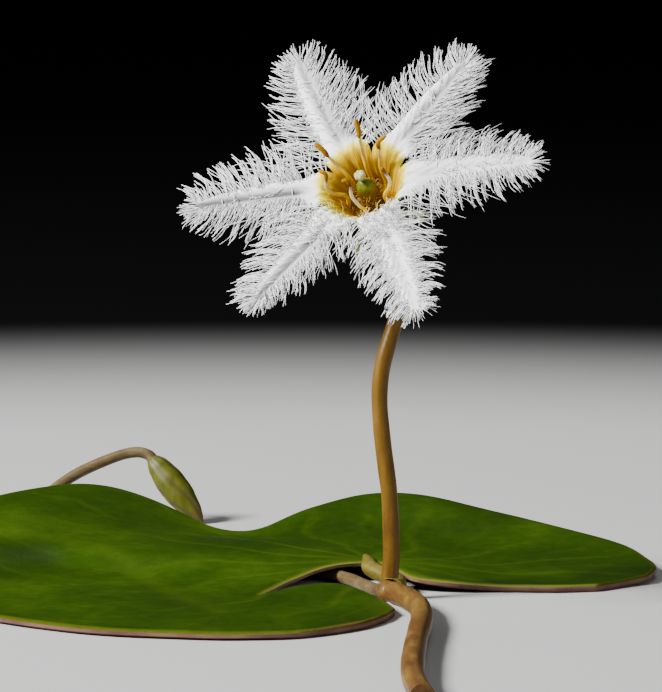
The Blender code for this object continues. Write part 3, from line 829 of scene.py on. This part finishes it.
def waved(chance, paths, size):
    # gives each hair its own waves, growing from nothing at its root
    hairs, points, _ = paths.shape
    along = np.linspace(0, 1, points)[None, :, None]
    for turns, share in hairWaves:
        way = chance.normal(size=(hairs, 1, 3))
        phase = chance.uniform(0, fullTurn, (hairs, 1, 1))
        wave = np.sin(fullTurn * turns * along + phase) - np.sin(phase)
        paths = paths + way * wave * size[:, None, None] * along ** 0.6 * share
    return paths


def hairPaths(root, firstWay, tip, lastWay, points):
    # smooth curves that leave the root one way and reach the tip another
    reach = np.linalg.norm(tip - root, axis=1, keepdims=True)
    afterRoot = root + firstWay * reach * 0.4
    beforeTip = tip - lastWay * reach * 0.35
    t = np.linspace(0, 1, points)[None, :, None]
    return (root[:, None] * (1 - t) ** 3 + 3 * afterRoot[:, None] * t * (1 - t) ** 2
            + 3 * beforeTip[:, None] * t ** 2 * (1 - t) + tip[:, None] * t ** 3)


def fringePaths(petal):
    # the hairs of one petal in its flat axes, and how thick each is
    start, length, deep = petals["start"], petal["length"], fringe["deep"]
    chance = np.random.default_rng(fringe["seed"] + petal["number"])
    draw, vary = chance.uniform, chance.normal
    paths, sizes, widths = [], [], []

    def grow(root, first, tip, last, wave, width=1.0):
        paths.append(hairPaths(root, unit(first), tip, unit(last), fringe["points"]))
        sizes.append(np.full(len(root), wave))
        widths.append(width * draw(0.82, 1.15, len(root)))

    def wayOf(*parts):
        return unit(np.column_stack(np.broadcast_arrays(*parts)))

    def rootAt(x, aside, deep):
        # a root on the blade, aside of its midline by a share of its half width
        half = bladeHalf(bladeShare(petal, x)) * slimmer(petal, x, aside)
        return np.column_stack([x, aside * half, bladeTop(petal, x, aside * half, half) - deep])

    def sprout(x, aside, deep, ways, reach, first, last, wave, width=1.0):
        # hairs that keep near one way from root to tip
        root, way = rootAt(x, aside, deep), wayOf(*ways)
        grow(root, way + first, root + way * reach[:, None], way + last, wave, width)

    def growLock(layer, centre, locks, side, hand):
        # one layer of one lock of hairs on a margin
        middle = min(centre + layer["off"] / locks, 0.99)
        crowd = max(0.0, 1.0 - layer["thinned"] * max(0.0, 1.0 - middle / 0.34))
        hairs = int(crowd * layer["hairs"] / locks + draw(0, 1))
        tilt = draw(*layer["tilt"])
        lean = petal["leans"][side] + 0.7 * middle ** 1.4 + layer["lean"] + draw(-0.12, 0.12)
        reach = fringe["sideHair"] * (1.0 - 0.47 * middle ** 2.3) * layer["reach"] * draw(0.86, 1.08)
        reach *= (1.0 + 0.3 * max(0.0, 0.4 - middle)) * petal["fullness"][side]
        reach *= 1.0 - petal["endTrim"][side] * min(1.0, max(0.0, middle - 0.6) / 0.35)
        x = start + length * clamped(middle + draw(-0.42, 0.42, hairs) / locks)
        aside = np.maximum(draw(*layer["roots"], hairs), petal["bareFrom"][side] + 0.2 * draw(0, 1, hairs))
        root = rootAt(x, hand * aside, layer["deep"])
        way = unit(np.array([lean, hand, tilt]))
        target = np.array([start + length * middle, hand * float(bladeHalf(middle)), -0.1]) + way * reach
        spread = vary(size=(hairs, 3)) * (1.2 / locks, 0.07, 0.06)
        tip = root + (target + spread - root) * draw(0.78, 1.03, hairs)[:, None]
        first = wayOf(vary(0.25, 0.12, hairs), hand, tilt * 0.8 + 0.3)
        grow(root, first, tip, way + (0.3, 0.0, -0.1) + vary(size=(hairs, 3)) * 0.22, 0.045)

    for side, hand in enumerate((1.0, -1.0)):
        centres = lockCentres(petal, side)
        for layer in fringe["layers"]:
            for centre in centres:
                growLock(layer, centre, len(centres), side, hand)
        # short hairs that thicken the margin
        short = fringe["short"]
        x = start + length * draw(0.25, 1, short)
        share = (x - start) / length
        sprout(x, hand * draw(0.8, 1.0, short), 0.05,
               (0.4 + 0.6 * share + vary(0, 0.2, short), hand, draw(0.0, 0.8, short)),
               draw(0.5, 1.2, short) * (1 - 0.3 * share), (0.0, 0.0, 0.3), (0.3, 0.0, -0.1), 0.04)
        # long fine hairs near the throat that run side by side and cross the neighbours'
        loose = fringe["loose"]
        x = start + length * (np.arange(loose) + draw(0, 1, loose)) / loose * 0.46
        root = rootAt(x, hand * draw(0.75, 1.0, loose), 0.05)
        way = wayOf(vary(1.35, 0.25, loose), hand, draw(-0.1, 0.5, loose))
        tip = root + way * draw(2.4, 4.0, loose)[:, None] * petal["looseReach"]
        first = wayOf(vary(0.35, 0.15, loose), hand, vary(0.45, 0.15, loose))
        grow(root, first, tip, way + (0.6, 0.0, -0.1) + vary(size=(loose, 3)) * 0.3, 0.08, 0.78)
        # fine hairs that lie over the half blade like a feather's barbs and sweep towards the tip
        barbs = petal["barbs"][side]
        x = start + 1.7 + (length - 2.4) * (np.arange(barbs) + draw(0, 1, barbs)) / barbs
        sprout(x, hand * draw(0.02, 0.9, barbs), deep,
               (vary(petal["barbLeans"][side], 0.16, barbs), hand, draw(0.02, 0.3, barbs)),
               draw(1.4, 2.8, barbs) * (1.1 - 0.55 * bladeShare(petal, x)),
               (0.1, hand * 0.4, 0.6), (0.4, 0, -0.25), 0.06, 0.8)
    # the fan at the end
    fan, locks, widest = fringe["fan"], fringe["fanLocks"], fringe["fanTurn"]
    turn = np.linspace(-widest, widest - 1.2 * petal["endTrim"][0], locks)[chance.integers(0, locks, fan)]
    turn = turn + vary(0, 0.045, fan)
    x = start + length * (0.995 - 0.05 * np.abs(turn) * draw(0.6, 1.4, fan))
    sprout(x, np.sin(turn) * 0.9, draw(0.0, 0.1, fan),
           (np.cos(turn * 0.8), np.sin(turn * 0.8), draw(-0.25, 0.6, fan)),
           draw(1.0, 1.62, fan), vary(size=(fan, 3)) * 0.15, vary(size=(fan, 3)) * 0.12, 0.035)
    # a few stray hairs that wriggle over the crease
    stray = petal["strays"]
    hand = np.where(draw(size=stray) < 0.5, 1.0, -1.0)
    x = start + 2.2 + (length - 3.6) * draw(0, 1, stray)
    sprout(x, hand * draw(0.05, 0.4, stray), deep,
           (draw(-0.2, 1.2, stray), -hand * draw(0.1, 1.0, stray), draw(0.1, 0.22, stray)),
           draw(0.8, 1.6, stray), (0.0, 0.0, 0.3), (0.0, 0.0, -0.3), 0.15, 1.05)
    # soft down on the foot of the two petals in front
    down = petal["down"]
    x = start + draw(-0.1, 2.4, down)
    sprout(x, draw(-0.95, 0.95, down), deep,
           (draw(-0.7, 0.9, down), vary(0, 0.7, down), draw(0.35, 1.0, down)),
           draw(0.4, 1.05, down), (0.0, 0.0, 0.5), vary(size=(down, 3)) * 0.5, 0.1, 0.85)
    return waved(chance, np.concatenate(paths), np.concatenate(sizes)), np.concatenate(widths)


def hairMesh(name, paths, radius, taper):
    # every hair is a closed three-sided rod; the map gives each its own strip
    hairs, points, _ = paths.shape
    ahead = unit(np.gradient(paths, axis=1))
    side = unit(np.cross(ahead, np.array(offAxis)))
    up = np.cross(ahead, side)
    thick = radius[:, None, None] * (1 - (1 - taper) * np.linspace(0, 1, points)[None, :, None] ** 1.5)
    turns = np.arange(3)
    edges = [math.cos(turn) * side + math.sin(turn) * up for turn in turns * fullTurn / 3]
    places = np.stack([paths + thick * edge for edge in edges], 2)
    root = (np.arange(hairs) * points * 3)[:, None, None]
    low = root + (np.arange(points - 1) * 3)[None, :, None]
    after = (turns + 1) % 3
    quads = np.stack([low + turns, low + after, low + 3 + after, low + 3 + turns], -1).reshape(-1, 4)
    first = root[:, 0]
    caps = np.concatenate([first + (0, 2, 1), first + (points - 1) * 3 + (0, 1, 2)])
    faces = len(quads) + len(caps)
    mesh = bpy.data.meshes.new(name)
    mesh.vertices.add(hairs * points * 3)
    mesh.vertices.foreach_set("co", places.ravel())
    mesh.loops.add(quads.size + caps.size)
    mesh.loops.foreach_set("vertex_index", np.concatenate([quads.ravel(), caps.ravel()]).astype(np.int32))
    mesh.polygons.add(faces)
    starts = np.concatenate([np.arange(len(quads)) * 4, quads.size + np.arange(len(caps)) * 3])
    mesh.polygons.foreach_set("loop_start", starts.astype(np.int32))
    mesh.polygons.foreach_set("use_smooth", np.ones(faces, bool))
    mesh.update(calc_edges=True)
    # the map: a square of strips, one to a hair, with its two caps above it
    inRow = math.ceil(math.sqrt(hairs))
    cell = 0.9 / inRow
    corner = np.stack([np.arange(hairs) % inRow, np.arange(hairs) // inRow], -1) / inRow
    part = np.stack(np.meshgrid(np.arange(points - 1) / (points - 1), turns / 3, indexing="ij")[::-1], -1)
    strip = (corner[:, None, None] + cell * part)[:, :, :, None]
    strip = strip + cell * np.array([(0, 0), (1, 0), (1, 1), (0, 1)]) / (3, points - 1)
    cap = np.tile(corner + (0, cell * 1.04), (2, 1))[:, None]
    cap = cap + cell * 0.1 * np.array([(0, 0), (1, 0), (0, 1)])
    layer = mesh.uv_layers.new(name="OFBake")
    layer.data.foreach_set("uv", np.concatenate([strip.ravel(), cap.ravel()]))
    piece = bpy.data.objects.new(name, mesh)
    bpy.context.scene.collection.objects.link(piece)
    return piece


def yolkTint(finish):
    # golden in the throat, greenish yellow for a little way, then white; its darkest brown deep in the middle
    # is painted shade, and the grooves are darker with painted shade
    spots = finish.flowerPlaces()
    ragged = finish.noise(spots, 1.3, 4.0, 0.6)
    streaks = (finish.turnRound(spots) * 34.0 + ragged * 7.0).cosine()
    place = (finish.distance(spots, -0.35, 0.4) + (ragged - 0.5) * 0.8 + streaks * 0.06) / 5.0
    raised = finish.ramp(place, [
        (0.12, (0.17, 0.07, 0.0)), (0.22, (0.4, 0.2, 0.0)), (0.34, (0.46, 0.255, 0.0)),
        (0.46, (0.5, 0.305, 0.0)), (0.56, (0.57, 0.41, 0.0)), (0.64, (0.68, 0.59, 0.02)),
        (0.72, white)])
    shadedGrooves = finish.ramp(place, [
        (0.13, (0.11, 0.04, 0.0)), (0.28, (0.3, 0.13, 0.0)), (0.48, (0.34, 0.17, 0.0)),
        (0.58, (0.42, 0.28, 0.0)), (0.65, (0.62, 0.58, 0.09)), (0.74, (0.74, 0.76, 0.72))])
    return finish.mix((1 - finish.mark("ridge")) * 0.6, raised, shadedGrooves)


petalWhite = Finish("petalWhite", white, 0.45, 0.12)
silky = petalWhite.noise(petalWhite.places(), 1.1, 4.0, 0.6)
striped = (petalWhite.turnRound(petalWhite.flowerPlaces()) * 120.0 + silky * 9.0).cosine()
petalWhite.paint(yolkTint(petalWhite))
# painted shade: grey laid where the crease mark is, in the trough and over the shaded half
petalWhite.layer(petalWhite.mark("crease") * 0.95, (0.1, 0.103, 0.108))
petalWhite.give("Roughness", 0.4 + 0.14 * silky)
petalWhite.bump(striped * 0.3 + silky, 0.35, 0.06)

hairPale = (0.88, 0.885, 0.88)
hairWhite = Finish("hairWhite", hairPale, 0.4, 0.4)
hairPatches = hairWhite.noise(hairWhite.places(), 0.8)
hairShadeNoise = hairWhite.noise(hairWhite.places(), 4.5)
hairYolk = hairWhite.distance(hairWhite.flowerPlaces(), 0.0, 0.0).between(3.7, 3.0)
hairWhite.paint(hairWhite.mix(hairYolk, hairPale, (0.56, 0.44, 0.03)))
# painted shade: greyed patches and flecks stand in for hairs lying in shadow
hairShade = hairPatches.between(0.45, 0.7) * 0.12 + hairShadeNoise.between(0.44, 0.66) * 0.46
hairWhite.layer(hairShade, (0.2, 0.205, 0.21))
hairWhite.give("Roughness", 0.36 + 0.14 * hairPatches)

for number in range(petalCount):
    petal = petalOf(number)
    finishPiece(petalBlade(petal), petalWhite, "petal_white", f"petal_{number + 1}")
    paths, widths = fringePaths(petal)
    thick = fringe["radius"] * widths * mm
    hairs = hairMesh(f"petalFringe{number + 1}", bentOver(petal, paths), thick, fringe["taper"])
    finishPiece(hairs, hairWhite, "petal_white", f"petal_{number + 1}")
    print("petal", number + 1, "hairs", len(paths), "faces", len(hairs.data.polygons))


# The throat: a funnel whose wall turns out into a yellow claw under each petal, with ridges down it

throat = {
    "wall": [
        (0.95, -2.95), (1.5, -2.45), (1.92, -1.7), (2.28, -0.98), (2.58, -0.42), (2.85, -0.1), (3.05, 0.02),
    ],
    "shortest": 0.8,
    "clawHalfTurn": 24.0,
    "thickness": 0.16,
    "around": 300,
    "rows": 44,
    "ridgeDepth": 0.1,
    "fineRidges": 66,
    "fineDepth": 0.22,
}
funnel, roll, down = gridPiece("throatFunnel", throat["around"], throat["rows"])
turn = roll * fullTurn
axes = np.array(petals["each"]["axis"])
toAxis = (np.degrees(turn)[:, None] - axes + 180) % 360 - 180
sector = np.abs(toAxis).argmin(1)
aside = toAxis[np.arange(len(turn)), sector]
halfAfter = (axes[(sector + 1) % petalCount] - axes[sector]) % 360 / 2
halfBefore = (axes[sector] - axes[sector - 1]) % 360 / 2
claw = clamped(1 - np.abs(aside) / throat["clawHalfTurn"])
claw = claw * claw * (3 - 2 * claw)
wall = alongRoute(throat["wall"], down * (throat["shortest"] + (1 - throat["shortest"]) * claw ** 0.6))
ridges = 0.5 - 0.5 * np.cos(aside / np.where(aside > 0, halfAfter, halfBefore) * 2 * fullTurn)
fineRidges = 0.5 + 0.5 * np.cos(turn * throat["fineRidges"] + 1.3 * np.sin(turn * 5))
inward = throat["ridgeDepth"] * (ridges + throat["fineDepth"] * fineRidges) * clamped(down * 3)
setCorners(funnel, toFlower(ringPlaces(turn, wall[:, 0] - inward * 0.85, wall[:, 1] + inward * 0.5)))
markCorners(funnel, ridge=clamped(ridges * 0.85 + fineRidges * 0.15))
mend(funnel)
facePlace(funnel, toFlower((0.0, 0.0, 3.0)))
shapeWith(funnel, "SOLIDIFY", thickness=throat["thickness"] * mm, offset=-1.0)
shadeSmooth(funnel, 1.0)
throatYellow = Finish("throatYellow", (0.4, 0.2, 0.0), 0.4, 0.06)
speckle = throatYellow.noise(throatYellow.flowerPlaces(), 1.7, 4.0, 0.6)
throatYellow.paint(yolkTint(throatYellow))
throatYellow.give("Roughness", 0.32 + 0.25 * speckle)
throatYellow.bump(speckle, 0.2, 0.05)
finishPiece(funnel, throatYellow, "throat_yellow", "throat")
print("throat done")


# Behind the flower: cup and sepals

sepals = {"drawnFrom": 2.9, "drawnTo": 1.9, "drawnBy": 0.55, "sunkBy": 0.15}
calyxGreen = Finish("calyxGreen", (0.127, 0.238, 0.04), 0.45)
patches = calyxGreen.patchy(calyxGreen.places(), 1.1, 4.0, [
    (0.35, (0.04, 0.079, 0.01)), (0.55, (0.071, 0.119, 0.016)), (0.75, (0.127, 0.158, 0.031))])
calyxGreen.bump(patches, 0.3, 0.06)
finishPiece(finerCopy("receptacle", "flowerCup"), calyxGreen, "calyx_green", "receptacle")
for number in range(1, petalCount + 1):
    sepal = finerCopy(f"sepal_{number}", f"sepalBlade{number}")
    # its foot is drawn in and down, so that it grows out of the cup
    local = (corners(sepal) / mm - np.array(flower["centre"])) @ flowerRows
    away = np.hypot(local[:, 0], local[:, 1])
    pull = clamped((sepals["drawnFrom"] - away) / (sepals["drawnFrom"] - sepals["drawnTo"]))
    local[:, :2] *= (1 - sepals["drawnBy"] * pull / away)[:, None]
    local[:, 2] -= sepals["sunkBy"] * pull
    setCorners(sepal, toFlower(local))
    finishPiece(sepal, calyxGreen, "calyx_green", f"sepal_{number}")
print("calyx done")


# The pistil

pistil = {
    "ovary": [
        (0.0, 0.5), (0.2, 0.47), (0.4, 0.34), (0.58, 0.1), (0.68, -0.35), (0.72, -1.0), (0.74, -1.9),
        (0.7, -2.97),
    ],
    "ovaryAround": 72,
    "ovaryRows": 48,
    "stigmaCentre": (0.0, 0.0, 1.18),
    "stigmaHalf": (0.36, 0.36, 0.26),
    "stigmaLobes": 6,
}
ovary, roll, down = gridPiece("ovaryBody", pistil["ovaryAround"], pistil["ovaryRows"])
turn = roll * fullTurn
wall = alongRoute(pistil["ovary"], down)
out = np.maximum(wall[:, 0], 0.0) * (1 + 0.03 * np.cos(turn * 2) + 0.012 * np.cos(turn * 9))
setCorners(ovary, toFlower(ringPlaces(turn, out, wall[:, 1])))
mend(ovary, cap=True)
shadeSmooth(ovary, 1.0)
ovaryGreen = Finish("ovaryGreen", (0.198, 0.211, 0.026), 0.46, 0.25)
spots = ovaryGreen.flowerPlaces()
patches = ovaryGreen.patchy(spots, 1.6, 3.0, [
    (0.35, (0.066, 0.079, 0.0)), (0.55, (0.112, 0.125, 0.002)), (0.75, (0.178, 0.178, 0.007))])
# painted shade: dark brown towards the ovary's foot, deep in the throat
ovaryFootShade = (ovaryGreen.parts(spots)[2] + 0.3 * patches).between(0.2, -0.35) * 0.92
ovaryGreen.layer(ovaryFootShade, (0.12, 0.06, 0.0))
ovaryGreen.bump(patches, 0.15, 0.05)
finishPiece(ovary, ovaryGreen, "ovary_green", "ovary")
finishPiece(finerCopy("style", "styleNeck"), ovaryGreen, "ovary_green", "style")

bpy.ops.mesh.primitive_uv_sphere_add(segments=48, ring_count=28, radius=1.0)
stigma = named(bpy.context.object, "stigmaHead")
ball = corners(stigma)
ballX, ballY, ballZ = ball.T
flatness = np.hypot(ballX, ballY)
lobes = 1 + 0.2 * np.abs(np.cos(np.arctan2(ballY, ballX) * pistil["stigmaLobes"] / 2)) * flatness
bumps = 1 + 0.05 * np.sin(ballX * 11) * np.sin(ballY * 10 + 1) * np.sin(ballZ * 12)
shaped = ball * pistil["stigmaHalf"] * (lobes * bumps)[:, None]
shaped[:, 2] *= 1 - 0.3 * np.exp(-(flatness / 0.45) ** 2) * (ballZ > 0)
setCorners(stigma, toFlower(shaped + pistil["stigmaCentre"]))
shadeSmooth(stigma)
stigmaCream = Finish("stigmaCream", (0.64, 0.6, 0.4), 0.5)
patches = stigmaCream.patchy(stigmaCream.flowerPlaces(), 6.0, 3.0, [
    (0.3, (0.35, 0.294, 0.07)), (0.6, (0.476, 0.434, 0.196))])
stigmaCream.bump(patches, 0.5, 0.05)
finishPiece(stigma, stigmaCream, "stigma_cream", "stigma")
print("pistil done")


# The stamens: each a cream filament, and an anther with a groove down it that runs on from the filament's end

stamens = {
    "each": {
        "filament": [
            [(-0.58, 1.95, -0.5), (-0.68, 2.4, 0.4), (-0.48, 2.5, 1.5), (-0.3, 2.42, 2.3)],
            [(0.58, 1.85, -0.5), (0.76, 2.1, 0.5), (1.1, 2.02, 1.6)],
            [(-1.75, 1.05, -0.5), (-2.35, 1.32, 0.4), (-2.8, 1.45, 1.3)],
            [(-1.5, -0.55, -0.7), (-2.15, -0.9, 0.1), (-2.5, -0.85, 0.8), (-2.35, -0.65, 1.35)],
            [(0.36, -1.85, -0.5), (0.26, -2.05, 0.3), (-0.1, -1.85, 1.2), (-0.05, -1.45, 1.9)],
            [(1.44, -0.48, -0.7), (2.02, -0.35, 0.2), (2.25, -0.15, 0.9), (2.0, 0.1, 1.5)],
        ],
        "anther": [
            [(-0.31, 2.82, 2.88), (-0.51, 3.3, 3.4)], [(1.2, 2.2, 2.22), (1.88, 2.42, 2.68)],
            [(-3.18, 1.7, 1.85), (-3.68, 1.9, 2.28)], [(-2.38, -0.38, 1.78), (-2.85, -0.28, 2.0)],
            [(-0.32, -1.28, 2.3), (-0.62, -1.42, 2.32)], [(1.96, 0.13, 1.75), (1.88, 0.13, 1.95)],
        ],
        "half": [0.19, 0.19, 0.19, 0.15, 0.15, 0.15],
        "brown": [0.0, 0.9, 0.75, 0.75, 0.95, 1.0],
        "brownTo": [0.4, 0.42, 0.42, 0.75, 0.55, 1.0],
        "gold": [0.75, 0.6, 0.7, 0.3, 0.0, 0.0],
        "dark": [0.0, 0.0, 0.0, 0.25, 0.4, 0.35],
    },
    "filamentRadius": 0.13,
    "foot": (1.85, -1.9),
}


def antherShape(along, turn):
    ends = clamped(np.minimum(along, 1 - along) / 0.22) ** 0.5
    halves = 1 - 0.22 * np.abs(np.cos(turn)) ** 8
    return (0.12 + 0.88 * ends) * halves * (1 + 0.04 * np.sin(along * 40 + turn * 3))


filamentCream = Finish("filamentCream", (0.728, 0.685, 0.514), 0.4)
spots = filamentCream.flowerPlaces()
patches = filamentCream.patchy(spots, 1.4, 3.0, [
    (0.35, (0.565, 0.48, 0.206)), (0.65, (0.669, 0.634, 0.428))])
filamentCream.layer(filamentCream.mark("gold"), (0.685, 0.514, 0.102))
filamentCream.layer(filamentCream.parts(spots)[2].between(1.3, -0.1), (0.583, 0.359, 0.0))
filamentCream.layer(filamentCream.mark("brown"), (0.12, 0.035, 0.02))
filamentCream.bump(patches, 0.2, 0.04)

antherOrange = Finish("antherOrange", (0.438, 0.198, 0.0), 0.6, 0.08)
spots = antherOrange.flowerPlaces()
pollen = antherOrange.noise(spots, 9.0, 4.0, 0.7)
antherOrange.patchy(spots, 1.2, 2.0, [
    (0.3, (0.208, 0.082, 0.0)), (0.6, (0.318, 0.143, 0.0)), (0.8, (0.362, 0.186, 0.0))])
antherOrange.layer(pollen.between(0.55, 0.68) * 0.4, (0.407, 0.244, 0.0))
antherOrange.layer(antherOrange.mark("brown"), (0.13, 0.03, 0.012))
antherOrange.bump(pollen, 0.6, 0.06)

for number in range(petalCount):
    stamen = oneOf(stamens, number)
    first, last = stamen["filament"][0], stamen["filament"][-1]
    gold = stamen["gold"]
    footOut, footHigh = stamens["foot"]
    inward = footOut / math.hypot(first[0], first[1])
    # the foot runs down into the throat's wall
    route = toFlower([(first[0] * inward, first[1] * inward, footHigh), *stamen["filament"]]) / mm
    thread = stalkPiece(f"filamentThread{number + 1}", route, stamens["filamentRadius"], 60, 14,
                        lambda along, turn: 1.2 - 0.35 * along + 0.35 * gold * (1 - along))
    toTop = np.linalg.norm(corners(thread) - toFlower(last), axis=1) / mm
    browned = clamped(1.3 - toTop / stamen["dark"]) if stamen["dark"] else 0 * toTop
    markCorners(thread, gold=np.full(len(toTop), gold), brown=browned)
    finishPiece(thread, filamentCream, "filament_cream", f"filament_{number + 1}")
    route = toFlower([last, *stamen["anther"]]) / mm
    lobe = stalkPiece(f"antherLobe{number + 1}", route, stamen["half"], 40, 32, antherShape)
    low = np.linalg.norm(corners(lobe) - toFlower(last), axis=1)
    markCorners(lobe, brown=clamped(1 - low / low.max() / stamen["brownTo"]) ** 0.6 * stamen["brown"])
    finishPiece(lobe, antherOrange, "anther_orange", f"anther_{number + 1}")
print("stamens done")


# Small stubby glands round the foot of the ovary

glands = {
    "count": 210,
    "onOvary": 230,
    "from": 0.95,
    "width": 0.85,
    "floor": [(0.95, -2.0), (1.5, -2.1), (1.92, -1.6)],
    "ovaryRadius": 0.67,
    "reach": 0.32,
    "radius": 0.015,
    "taper": 1.7,
    "points": 5,
    "seed": 5,
}
chance = np.random.default_rng(glands["seed"])
turn = chance.uniform(0, fullTurn, glands["count"])
out = glands["from"] + chance.uniform(0.0, glands["width"], glands["count"])
floorAt, floorHigh = np.array(glands["floor"]).T
root = ringPlaces(turn, out, np.interp(out, floorAt, floorHigh))
way = unit(ringPlaces(turn, -0.5, 1.0) + chance.normal(size=(glands["count"], 3)) * 0.35)
sideTurn = chance.uniform(0, fullTurn, glands["onOvary"])
sideHigh = -0.3 - 1.7 * chance.uniform(0, 1, glands["onOvary"]) ** 0.8
root = np.concatenate([root, ringPlaces(sideTurn, glands["ovaryRadius"], sideHigh)])
sideWay = unit(ringPlaces(sideTurn, 1.0, 0.7) + chance.normal(size=(glands["onOvary"], 3)) * 0.4)
way = np.concatenate([way, sideWay])
tip = root + way * glands["reach"] * chance.uniform(0.6, 1.5, len(root))[:, None]
paths = waved(chance, hairPaths(root, way, tip, way, glands["points"]), np.full(len(root), 0.04))
thick = glands["radius"] * chance.uniform(0.7, 1.4, len(paths)) * mm
glandHairs = hairMesh("throatGlands", toFlower(paths), thick, glands["taper"])
glandOrange = Finish("glandOrange", (0.542, 0.271, 0.031), 0.45)
glandOrange.patchy(glandOrange.flowerPlaces(), 2.6, 2.0, [
    (0.35, (0.124, 0.046, 0.0)), (0.54, (0.325, 0.155, 0.0)), (0.72, (0.426, 0.341, 0.092))])
finishPiece(glandHairs, glandOrange, "throat_yellow")
print("glands done")
